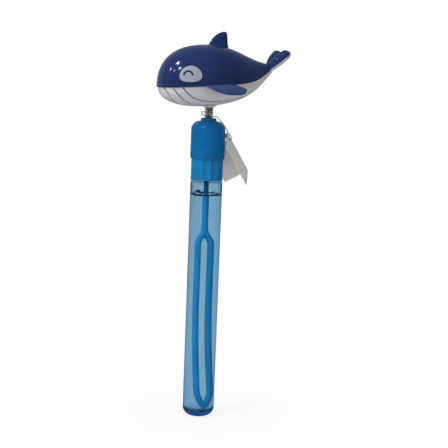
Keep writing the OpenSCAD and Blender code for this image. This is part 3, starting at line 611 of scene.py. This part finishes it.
# %% [markdown]
# The soap fills the bore up to a wavy surface that climbs the wall a little.
# It could stop short of the wall, but then a film of air would mirror in between. So its skin overlaps
# the tube's bore by a hair, and light bends there as it does between wet plastic and water.
# A few bubbles float on it. Each is a thin film: one ball inside another.

# %% Soap water
OVERLAP, FILM, WAVE = 0.02, 0.08, 0.12
soap_r, soap_round = BORE_R + OVERLAP, INNER_ROUND + OVERLAP
profile = [(0, FOOT_T - OVERLAP)]
profile += arc(BORE_R - INNER_ROUND, FOOT_T + INNER_ROUND, soap_round, soap_round, -90, 0, 10)
profile += [(soap_r, 20 * i) for i in range(1, 8)] + [(soap_r, LEVEL + 0.9), (BORE_R - 0.3, LEVEL + 0.4)]
profile += [(BORE_R - 0.9, LEVEL + 0.1)] + [(r, LEVEL) for r in (8, 6, 4, 2, 0)]
soap_bm = spun(profile, closed=False)
for v in soap_bm.verts:
    if v.co.z > (LEVEL - 0.5) * MM:
        v.co.z += WAVE * MM * (sin(v.co.x / MM / 1.5) + cos(v.co.y / MM / 1.8 + 0.6))


def bubble(right, near, radius):
    """A film of soap water that floats to the right of the axis and nearer to the camera, in mm."""
    film = bmesh.new()
    centre = Matrix.Translation((view_right * right + view_back * near + Z * (LEVEL + 0.6 * radius)) * MM)
    for r in (radius, radius - FILM):
        bmesh.ops.create_uvsphere(film, u_segments=32, v_segments=20, radius=r * MM, matrix=centre)
    return film


bubbles = [bubble(-5.4, 4.2, 2.3), bubble(-3, 6.9, 1.6), bubble(-7.3, 3, 0.9), bubble(5, -6, 1.2)]
piece("soap_water", join(soap_bm, *bubbles), soap, "bottle", sharp=70)

# %% [markdown]
# ## Cap
#
# The cap has two pieces: a fluted ring for the fingers, and a dome over it.
# The flutes could be cut one by one. Here the ring is spun first, and then every point of its outside
# is drawn in to the nearest of twelve hollows, so that a narrow round ridge stays between two hollows.

# %% Fluted ring
RING_R, RING_Z, DOME_Z, SKIRT_R, SPIGOT_R, SPIGOT_BORE_R = 11.2, 166.7, 181.2, 9.65, 9.8, 8.5
FLUTES, FLUTE_TURN, HOLLOW, STEEP, ROOF_T, STUD_HOLE_R = 12, radians(37), 0.8, 2.1, 1.6, 2.35
SPIGOT_Z = DOME_Z + 7.6
profile = [(SKIRT_R, RING_Z + 0.2), (SKIRT_R + 0.2, RING_Z)]
profile += arc(RING_R - 0.25, RING_Z + 0.25, 0.25, 0.25, -90, 0, 4)
profile += arc(RING_R - 0.2, RING_Z + 0.6, 0.2, 0.2, 0, 60, 3)
profile += [(RING_R, RING_Z + 1), (RING_R, RING_Z + 6), (RING_R, DOME_Z), (SPIGOT_R, DOME_Z)]
profile += [(SPIGOT_R, SPIGOT_Z - 0.2), (SPIGOT_R - 0.2, SPIGOT_Z), (SPIGOT_BORE_R, SPIGOT_Z)]
profile += [(SPIGOT_BORE_R, DOME_Z + ROOF_T), (STUD_HOLE_R, DOME_Z + ROOF_T)]
profile += [(STUD_HOLE_R, DOME_Z), (SKIRT_R, DOME_Z)]
ring_bm = spun(profile, steps=240)
for v in ring_bm.verts:
    reach = hypot(v.co.x, v.co.y) / MM
    if reach > RING_R - 0.3 and v.co.z > (RING_Z + 0.9) * MM:
        off = (atan2(v.co.y, v.co.x) - FLUTE_TURN) / (2 * pi / FLUTES)
        drawn = RING_R - HOLLOW * max(0, 1 - (STEEP * (off - round(off))) ** 2)
        v.co.x, v.co.y = v.co.x * drawn / reach, v.co.y * drawn / reach
piece("fluted_ring", ring_bm, ring_blue, "cap", ["screw_cap"], sharp=40)

# %% [markdown]
# The dome is a thin bell with a small collar on top, where the spring comes out.
# It is the same all round, so a plain spun shell is enough.

# %% Dome
DOME_R, DOME_BORE_R, DOME_SHOULDER, DOME_ROOF, DOME_TOP = 11.75, 9.85, 201.2, 205.4, 207
COLLAR_R, COLLAR_TOP, COLLAR_ROUND, COLLAR_BORE_R, ROOF_R = 5.35, 209.1, 1.1, 3.35, 4.8
profile = [(DOME_BORE_R, DOME_Z + 0.1)] + arc(DOME_R - 0.5, DOME_Z + 0.5, 0.5, 0.5, -90, 0, 6)
profile += [(DOME_R, 190), (DOME_R, 196)]
profile += arc(COLLAR_R + 0.4, DOME_SHOULDER, DOME_R - COLLAR_R - 0.4, 5.8, 0, 84, 22)
profile += arc(COLLAR_R + 0.7, DOME_TOP + 0.7, 0.7, 0.7, 250, 180, 5)
profile += arc(COLLAR_R - COLLAR_ROUND, COLLAR_TOP - COLLAR_ROUND, COLLAR_ROUND, COLLAR_ROUND, 0, 90, 8)
profile += [(COLLAR_BORE_R + 0.15, COLLAR_TOP), (COLLAR_BORE_R, COLLAR_TOP - 0.15), (COLLAR_BORE_R, DOME_ROOF)]
profile += arc(ROOF_R, DOME_SHOULDER, DOME_BORE_R - ROOF_R, DOME_ROOF - DOME_SHOULDER, 90, 0, 14)
profile += [(DOME_BORE_R, 192)]
piece("cap_dome", spun(profile), dome_blue, "cap", ["cap_dome"], sharp=50)

# %% [markdown]
# ## Wand
#
# The wand is one moulding: a stem with a flange under the cap, and a long loop that carries the soap film.
# A curve with a bevel could make the loop, but a swept circle is a mesh from the start and closes by itself.
# Its path lies in one plane: down one leg, round the tip, and up the other leg.
# The legs bow sideways near the tip, as they do in the photograph. The stem and its flange are spun.


# %% Wand
FORK_Z, FORK_H, LEG_Z, TIP_Z, TIP_H = 132.2, 10, 120, 6, 10
LEG_X, LEG_R, STEM_R, BOW, BOW_H = 3.6, 1.8, 1.7, 3.2, 78


def wand_point(side, spread, z):
    """A point of the loop: spread 0 is the middle line, 1 is a full leg."""
    bow = BOW * (max(0, TIP_Z + BOW_H - z) / BOW_H) ** 2
    return Vector((side * LEG_X * spread + bow, 0, z))


def leg(side):
    """One leg from the fork down to the tip."""
    ease = [i / 16 for i in range(17)]
    points = [wand_point(side, 0.04 + 0.96 * t * t * (3 - 2 * t), FORK_Z - FORK_H * t) for t in ease]
    points += [wand_point(side, 1, LEG_Z - (LEG_Z - TIP_H - TIP_Z) * i / 30) for i in range(31)]
    rounded = [(cos(radians(a)), sin(radians(a)) * (a / 90) ** 0.7) for a in range(9, 90, 9)]
    return points + [wand_point(side, spread, TIP_Z + TIP_H - TIP_H * fall) for spread, fall in rounded]


loop = leg(-1) + [wand_point(0, 0, TIP_Z)] + leg(1)[::-1]
loop_bm = swept(loop, lambda i: LEG_R, 24, lambda i: Y, closed=True)

FLANGE_R, FLANGE_Z, FLANGE_TOP, STUD_R, STUD_TOP = 6.6, 179.2, 180.4, 2.3, 184.85
stem = arc(0, FORK_Z, STEM_R, STEM_R, -90, 0, 8) + [(STEM_R, z) for z in (150, 170, FLANGE_Z - 4)]
stem += [(STEM_R + 0.25, FLANGE_Z - 3), (2 * STEM_R, FLANGE_Z - 0.1), (FLANGE_R - 0.1, FLANGE_Z)]
stem += [(FLANGE_R, FLANGE_Z + 0.1), (FLANGE_R, FLANGE_TOP - 0.1), (FLANGE_R - 0.1, FLANGE_TOP)]
stem += [(STUD_R, FLANGE_TOP), (STUD_R, STUD_TOP - 2), (STUD_R + 0.5, STUD_TOP - 1.8)]
stem += [(STUD_R - 0.4, STUD_TOP), (0, STUD_TOP)]
stem_bm = spun(stem, 48, closed=False)
piece("bubble_wand", join(loop_bm, stem_bm), wand_blue, "cap", ["wand"], sharp=40)

# %% [markdown]
# ## Spring
#
# The whale nods on a short coil of steel wire. The Screw modifier could wind one, but its ends would hang free.
# Here one wire is swept up a helix, and its ends stand square on their seats.
# It is cut into two halves at its middle, because the real spring bends at two joints.
# Neither half rides on a body here: both stay where they are built.

# %% Spring
COIL_R, WIRE_R, CURLS, PLUG_Z, BEND, HALF_Z = 2.575, 0.475, 8, 220.4, 0.95, 212.5
low, high, steps = DOME_ROOF + 2 * BEND, PLUG_Z - 2 * BEND, 24 * CURLS
lead, last = BEND / COIL_R, 2 * pi * CURLS
wire = [(-lead, DOME_ROOF), (-lead, DOME_ROOF + BEND)]
wire += [(-lead * cos(radians(a)), low - BEND * (1 - sin(radians(a)))) for a in (0, 30, 60)]
wire += [(last * i / steps, low + (high - low) * i / steps) for i in range(steps + 1)]
wire += [(last + lead * cos(radians(a)), high + BEND * (1 - sin(radians(a)))) for a in (60, 30, 0)]
wire += [(last + lead, PLUG_Z - BEND), (last + lead, PLUG_Z)]
wire = [round_axis(COIL_R, a, z) for a, z in wire]
half = next(i for i, p in enumerate(wire) if p.z > HALF_Z)


def coil(name, points):
    """One half of the spring: a wire swept along the points."""
    bm = swept(points, lambda i: WIRE_R, 16, lambda i: points[i] - Z * points[i].z)
    made = piece(name, bm, steel, None, ["wobble_spring"], sharp=50)
    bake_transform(made)


coil("spring_low", wire[:half + 1])
coil("spring_high", wire[half:])

# %% [markdown]
# ## Whale
#
# The whale is made of two thin half shells that meet on a rising seam. It could be sculpted,
# but curves keep its sizes known. It has four along its length: half width, back, belly and the seam.
# `swell` gives a size that grows from the nose to a peak and tapers to the tail. Its shape holds
# the place of the peak, the peak, the power of the round nose, the share lost at the tail
# and the power of the taper.


# %% Whale curves
NOSE, JAW, TAIL, JAW_STEP, GAP, POWER = -37.2, -36.1, 44, 1.1, 0.15, 2.15
WIDTH_SHAPE = (-6, 20.5, 2.3, 0.83, 1.9)
BACK_SHAPE = (-6, 27.3, 2.5, 0.92, 2.04)
BELLY_SHAPE = (-4, 14.1, 2.15, 0.77, 2.18)
SEAM_Z, SEAM_SLOPE, SEAM_BEND, BEND_SLOPE, BEND_ROUND = 231.2, 0.07, 30.2, 0.31, 9
SWEEP_X, SWEEP = 33, 1.3


def swell(x, nose, shape, inset=0):
    """A size of the whale at x, in mm."""
    mid, peak, nose_power, drop, tail_power = shape
    if x < mid:
        return (peak - inset) * max(0, 1 - ((mid - x) / (mid - nose)) ** nose_power) ** (1 / nose_power)
    return (peak - inset) * max(0.05, 1 - drop * ((x - mid) / (TAIL - mid)) ** tail_power)


def half_width(x):
    return swell(x, NOSE, WIDTH_SHAPE)


def jaw_width(x):
    return swell(x, JAW, WIDTH_SHAPE, JAW_STEP)


def back_at(x):
    """Height of the back over the seam. Near the tail it sweeps up into the flukes."""
    return swell(x, NOSE, BACK_SHAPE) + SWEEP * max(0, (x - SWEEP_X) / (TAIL - SWEEP_X)) ** 2


def belly_at(x):
    return swell(x, JAW, BELLY_SHAPE)


def seam_at(x):
    past = x - SEAM_BEND
    return SEAM_Z + SEAM_SLOPE * x + BEND_SLOPE * (past + sqrt(past ** 2 + BEND_ROUND ** 2))


def power_arc(a):
    """Cosine and sine of a rounded, slightly square section."""
    c, s = cos(a), sin(a)
    return abs(c) ** (2 / POWER) * (1 if c > 0 else -1), abs(s) ** (2 / POWER)


print("whale is", TAIL - NOSE, "mm long without its flukes")

# %% [markdown]
# Each shell is one sheet. Along the sheet runs the body's length, and round it one closed section:
# half the flat seam, a small rounded rim, the curved skin, the other rim, and back along the seam.
# A sheet keeps rows of even faces on the skin, which a remeshed blob would not.


# %% Whale shells
BODY_SHARE, FLAT_SHARE, RIM_SHARE, RIM = 0.94, 0.1, 0.2, 0.35


def shell_point(u, v, nose, width, height, sign, lift, past):
    """Place on a shell: u from nose to tail, v round the section. The end rounds off over past mm."""
    body, end = min(1, u / BODY_SHARE), max(0, (u - BODY_SHARE) / (1 - BODY_SHARE))
    x = nose + (TAIL - nose) * (1 - cos(pi / 2 * body))
    w, h = width(x) * cos(pi / 2 * end), height(x) * cos(pi / 2 * end)
    rim = min(RIM, 0.2 * w, 0.2 * h)
    side = 1 if v > 0.5 else -1
    t = 1 - abs(2 * v - 1)
    if t < FLAT_SHARE:
        y, z = (w - rim) * t / FLAT_SHARE, 0
    elif t < RIM_SHARE:
        a = (t - FLAT_SHARE) / (RIM_SHARE - FLAT_SHARE) * pi / 2
        y, z = w - rim + rim * sin(a), rim * (1 - cos(a))
    else:
        c, s = power_arc((t - RIM_SHARE) / (1 - RIM_SHARE) * pi / 2)
        y, z = w * c, rim + (h - rim) * s
    return Vector((x + past * sin(pi / 2 * end), side * y, seam_at(x) + lift + sign * z))


back_bm = sheet(90, 120, lambda u, v: shell_point(u, v, NOSE, half_width, back_at, 1, 0, 0.05))
belly_bm = sheet(90, 120, lambda u, v: shell_point(u, v, JAW, jaw_width, belly_at, -1, -GAP, 1.6))
print("shells:", len(back_bm.faces), "and", len(belly_bm.faces), "faces")

# %% [markdown]
# The dorsal fin is a sheet wrapped round a leaf: its front edge sweeps back and its rear edge stands upright.
# The flukes are two fat lobes that open from inside the tail. Metaballs could make them,
# but they give no exact size. Here each lobe wraps three balls like a tight skin:
# every point of a ball moves to the one of the three that reaches furthest in its direction.
# The half below its middle is pressed flat for the navy upper piece,
# and the half above for the white lower piece.


# %% Fin and flukes
FIN_X, FIN_L, FIN_H, FIN_T, FIN_DEEP, FIN_SUNK = -2, 13.9, 9.5, 4.6, 3.5, 0.2
FIN_AT, FIN_FLARE, FIN_CLOSE = -0.9, 0.5, 0.975
FIN_ROOT = seam_at(FIN_AT) + back_at(FIN_AT) - 0.3


def fin_point(u, v):
    """u climbs the fin from inside the back, v goes round it."""
    rise = max(0, (u - FIN_SUNK) / (1 - FIN_SUNK))
    level = rise * (1 - 0.012 * rise)
    front = FIN_X + (FIN_L - 2.2) * (1 - max(0, 1 - level ** 1.4) ** 0.55)
    rear = FIN_X + FIN_L - 0.6 * level - 1.1 * level ** 8
    flare = FIN_FLARE * exp(-rise / 0.07)
    close = sqrt(max(0, 1 - max(0, (rise - FIN_CLOSE) / (1 - FIN_CLOSE)) ** 2))
    half_l = ((rear - front) / 2 + flare) * close
    half_t = (FIN_T * (1 - 0.65 * level) / 2 + flare) * close
    z = FIN_ROOT + FIN_H * rise if u > FIN_SUNK else FIN_ROOT - FIN_DEEP * (1 - u / FIN_SUNK)
    return Vector(((front + rear) / 2 + half_l * cos(2 * pi * v), half_t * sin(2 * pi * v), z))


FLUKE_X, FLUKE_L, FLUKE_R, FLUKE_TOP, FLUKE_UNDER = 43.8, 14.35, 4.4, 4.8, 2.8
FLUKE_LIFT, FLUKE_RISE, FLUKE_SPREAD = 0.7, radians(45), radians(29)


def lobe(side, height, sign):
    """The upper or lower half of one lobe."""
    turn = Matrix.Rotation(side * FLUKE_SPREAD, 4, "Z")
    root = (X * -0.4 * FLUKE_R, 0.69 - 0.09 * sign)
    balls = [root, (turn @ (X * 0.6 * FLUKE_L), 1), (turn @ (X * FLUKE_L), 0.92)]
    bm = bmesh.new()
    bmesh.ops.create_uvsphere(bm, u_segments=160, v_segments=80, radius=1)
    for v in bm.verts:
        centre, size = max(balls, key=lambda ball: ball[0].dot(v.co) + ball[1] * FLUKE_R)
        v.co = (centre + v.co * size * FLUKE_R) * MM
        v.co.z *= height / FLUKE_R if v.co.z * sign > 0 else 0
    lift = Vector((FLUKE_X, 0, seam_at(FLUKE_X) + FLUKE_LIFT)) * MM
    bm.transform(Matrix.Translation(lift) @ Matrix.Rotation(-FLUKE_RISE, 4, "Y"))
    return bm


upper_lobes = [lobe(side, FLUKE_TOP, 1) for side in (-1, 1)]
whole_bm = join(back_bm, sheet(64, 96, fin_point), *upper_lobes)
piece("whale_back", whole_bm, navy, "whale", ["whale_back"], sharp=60)

# %% [markdown]
# The throat grooves start at the seam and sweep down and back along the belly.
# A dark line in the material could stand for them, but a groove that catches light has to be a shape.
# Swept tubes follow the grooves on the white shell, and a Boolean modifier cuts them out. We apply it at once.
# The lower halves of the flukes join the shell after that.


# %% Belly and grooves
GROOVE_R, GROOVE_SHADE_GAIN = 0.42, 60


def groove(x0, x1, settle, ease, side):
    """One groove from x0 to x1. It settles at an angle below the seam, in degrees, over ease mm."""
    points = []
    for i in range(41):
        x = x0 + (x1 - x0) * (i / 40) ** 1.8
        c, s = power_arc(radians(settle) * (1 - exp(-(x - x0) / ease)))
        points.append(Vector((x, side * jaw_width(x) * c, seam_at(x) - GAP - belly_at(x) * s)))
    return swept(points, lambda i: GROOVE_R, 10, lambda i: Z if abs(points[i].y) > 3 else Y)


rows = [(NOSE + 1.7, -22, 86, 5), (NOSE + 6, 20, 70, 7.5), (NOSE + 11.5, 24, 51, 8)]
cutter_bm = join(*[groove(*row, side) for row in rows for side in (-1, 1)])
cutter_mesh = bpy.data.meshes.new("groove_cutter")
cutter_bm.to_mesh(cutter_mesh)
cutter_bm.free()
cutter = bpy.data.objects.new("groove_cutter", cutter_mesh)
bpy.context.collection.objects.link(cutter)

belly = piece("whale_belly", belly_bm, belly_white, "whale", ["whale_belly"])
carve = belly.modifiers.new("grooves", "BOOLEAN")
carve.operation, carve.solver, carve.object = "DIFFERENCE", "EXACT", cutter
shaped = bpy.data.meshes.new_from_object(belly.evaluated_get(bpy.context.evaluated_depsgraph_get()))
belly.modifiers.clear()
bpy.data.objects.remove(cutter)
belly.data = shaped
grooved_bm = bmesh.new()
grooved_bm.from_mesh(shaped)
lower_lobes = [lobe(side, FLUKE_UNDER, -1) for side in (-1, 1)]
whole_bm = join(grooved_bm, *lower_lobes)
whole_bm.to_mesh(shaped)
whole_bm.free()
smooth(shaped, 60)
print("belly after cutting:", len(shaped.polygons), "faces")

# %% [markdown]
# The grime needs to know how deep each point of the belly lies in a groove.
# The shell's own formula tells: on the skin its two terms add up to 1, and in a groove to less.
# The spring's socket under the belly is a small spun collar of the same white plastic.

# %% Groove depth and socket
depths = shaped.attributes.new("groove_depth", "FLOAT", "POINT")
for v, store in zip(shaped.vertices, depths.data):
    x, y, z = v.co / MM
    below = seam_at(x) - GAP - z
    if JAW < x < 30 and below > 0.4:
        skin = (abs(y) / jaw_width(x)) ** POWER + (below / belly_at(x)) ** POWER
        store.value = min(1, max(0, (1 - skin) * GROOVE_SHADE_GAIN))

SOCKET_BORE_R, SOCKET_Z = 3.35, 216.4
socket = [(SOCKET_BORE_R, SOCKET_Z + 0.1), (SOCKET_BORE_R + 0.1, SOCKET_Z)]
socket += arc(SOCKET_BORE_R + 0.35, SOCKET_Z + 0.3, 0.3, 0.3, -90, 0, 5)
socket += [(4.3, SOCKET_Z + 0.8), (5.2, SOCKET_Z + 1.5), (6.5, PLUG_Z), (SOCKET_BORE_R, PLUG_Z)]
piece("spring_socket", spun(socket, 64), belly_white, "whale", sharp=50)

# %% [markdown]
# A flipper is a thin leaf that lies along the seam and leaves the body towards its tip.
# Its inner edge follows the body's own width, so it fits the shell without any cutting.


# %% Flippers
FLIPPER_X, FLIPPER_L, FLIPPER_B, FLIPPER_T, DROOP = -10.6, 28, 5.93, 1.6, radians(36)
FREE_X = FLIPPER_X + 0.62 * FLIPPER_L


def flipper_edge(x):
    """Inner edge of the flipper: along the body, then straight out and down."""
    body, past = half_width(x), half_width(FREE_X) + 0.42 * (x - FREE_X)
    out = (body + past + sqrt((body - past) ** 2 + 1)) / 2
    down = 3 * (max(0, x - FREE_X) / (0.38 * FLIPPER_L)) ** 1.5
    return Vector((x, -out - GAP, seam_at(min(x, FREE_X)) + 0.4 - down))


def flipper_point(u, v, side):
    """u runs from the front to the tip, v goes round the leaf."""
    s = (1 - cos(pi * u)) / 2
    grown = max(0, sin(pi * s ** 1.35)) ** (0.42 + 0.3 * s)
    b, t = FLIPPER_B * grown, FLIPPER_T * grown
    along, up = Vector((0, -cos(DROOP), -sin(DROOP))), Vector((0, -sin(DROOP), cos(DROOP)))
    edge = flipper_edge(FLIPPER_X + FLIPPER_L * s)
    p = edge + along * b * (1 + cos(2 * pi * v)) + up * t * sin(2 * pi * v)
    return Vector((p.x, p.y * side, p.z))


for name, side in (("left_flipper", 1), ("right_flipper", -1)):
    bm = sheet(48, 32, lambda u, v: flipper_point(u, v, side))
    piece(name, bm, flipper_blue, "whale", [name], sharp=60)

# %% [markdown]
# The eye patches and the smiling eyes are thin pieces on the head. A Shrinkwrap modifier could press them on.
# `off_head` does it with the head's own formula: it lifts a point off the skin along its normal.


# %% Eyes
PATCH_X, PATCH_H, PATCH_A, PATCH_TOP, PATCH_LOW = -20.7, 7.6, 7, 5.9, 4.7
PATCH_FACE, PATCH_REAR, EDGE_FROM, EDGE_TO, ROUND, ROUND_FROM = 0.38, 0.08, 0.45, 0.55, 0.12, 0.93
EYE_X, EYE_H, EYE_R, EYE_LINE, EYE_OFF, EYE_START, EYE_TURN = -22.5, 7.5, 2.6, 0.45, 0.57, 184, 188


def head_point(x, h):
    """A point of the skin at a height over the seam."""
    bulge = max(0, 1 - (h / back_at(x)) ** POWER) ** (1 / POWER)
    return Vector((x, -half_width(x) * bulge, seam_at(x) + h))


def off_head(x, h, d):
    along = head_point(x + 0.1, h) - head_point(x - 0.1, h)
    up = head_point(x, h + 0.1) - head_point(x, h - 0.1)
    return head_point(x, h) + along.cross(up).normalized() * d


def patch_point(u, v, side):
    """u runs from the middle of the front over the rim to the middle of the rear, v goes round."""
    a = 2 * pi * v
    share = min(1, u / EDGE_FROM) if u < EDGE_TO else (1 - u) / EDGE_FROM
    over = min(1, max(0, (u - EDGE_FROM) / (EDGE_TO - EDGE_FROM)))
    depth = PATCH_FACE + (PATCH_REAR - PATCH_FACE) * over
    if u <= EDGE_FROM:
        depth -= ROUND * max(0, (share - ROUND_FROM) / (1 - ROUND_FROM)) ** 2
    tall = PATCH_TOP * sin(a) if sin(a) > 0 else -PATCH_LOW * abs(sin(a)) ** 0.75
    p = off_head(PATCH_X + share * PATCH_A * cos(a) * (1 - 0.12 * sin(a)), PATCH_H + share * tall, depth)
    return Vector((p.x, p.y * side, p.z))


def eye_point(u, v, side):
    """u runs along the smile and v round its line."""
    a = radians(EYE_START - EYE_TURN * u)
    thin = sqrt(max(0, 1 - (max(0, abs(2 * u - 1) - ROUND_FROM) / (1 - ROUND_FROM)) ** 2))
    r = EYE_R + EYE_LINE * thin * cos(2 * pi * v)
    p = off_head(EYE_X + r * cos(a), EYE_H + r * sin(a), EYE_OFF + 0.15 * thin * sin(2 * pi * v))
    return Vector((p.x, p.y * side, p.z))


for name, side in (("left", 1), ("right", -1)):
    patch_bm = sheet(60, 96, lambda u, v: patch_point(u, v, side))
    piece(name + "_eye_patch", patch_bm, patch_white, "whale", [name + "_eye_patch"], sharp=60)
    eye_bm = sheet(64, 16, lambda u, v: eye_point(u, v, side))
    piece(name + "_eye", eye_bm, eye_black, "whale", [name + "_eye"], sharp=60)

# %% [markdown]
# ## Tag
#
# The tag hangs on a nylon loop that lies round the spring and runs down over the dome's shoulder.
# A curve object would need handles at every bend. Here a formula runs a smooth closed curve through
# a few knots, and a small circle is swept along it.
# Behind the spring it stands off a little, which leaves room for the coil when the whale nods.

# %% Nylon loop
LOOP_R, LOOP_BACK_R, LOOP_Z, LOOP_TILT, STRAND_R, TAG_TURN = 3.95, 5, 210.3, 3, 0.4, radians(20)
knots = [(0, LOOP_R, LOOP_Z), (3.6, LOOP_R, LOOP_Z), (5.6, 4, 208.6), (8.9, 4.2, 206.2), (11.3, 4.3, 203.6),
         (13.9, 4.5, 200), (16.87, 4.8, 196.65), (18.27, 4.05, 194.65), (18.47, 2.155, 194.15)]
turns = [radians(a) for a in (-120, -150, 180, 150, 120)]
ring_back = [round_axis(LOOP_BACK_R, a, LOOP_Z - LOOP_TILT * cos(a)) for a in turns]
knots = knots + [(18.47, 0, 194.15)] + [(x, -y, z) for x, y, z in knots[::-1]] + ring_back
turned = Matrix.Rotation(TAG_TURN, 3, "Z")
knots = [turned @ Vector(k) for k in knots]


def curve_point(i, t):
    """A smooth curve through the knots, between knot i and the next."""
    a, b, c, d = (knots[(i + k) % len(knots)] for k in (-1, 0, 1, 2))
    return 0.5 * (2 * b + (c - a) * t + (2 * a - 5 * b + 4 * c - d) * t ** 2 + (3 * b - a - 3 * c + d) * t ** 3)


strand = [curve_point(i, s / 8) for i in range(len(knots)) for s in range(8)]
strand_bm = swept(strand, lambda i: STRAND_R, 12, lambda i: Z, closed=True)
piece("tag_loop", strand_bm, nylon, "tag", ["tag_loop"], sharp=60)

# %% [markdown]
# ## Pieces kept from CAD
#
# The washer, the two spring pegs and the folded card keep their CAD shape. They only need their materials.

# %% Materials for CAD pieces
kept = {"seal_washer": washer_foam, "spring_post": dome_blue, "spring_plug": belly_white, "tag_card": tag_card}
for name, material in kept.items():
    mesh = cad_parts[name].data
    mesh.materials.clear()
    mesh.materials.append(material)
print("kept from CAD:", list(kept))
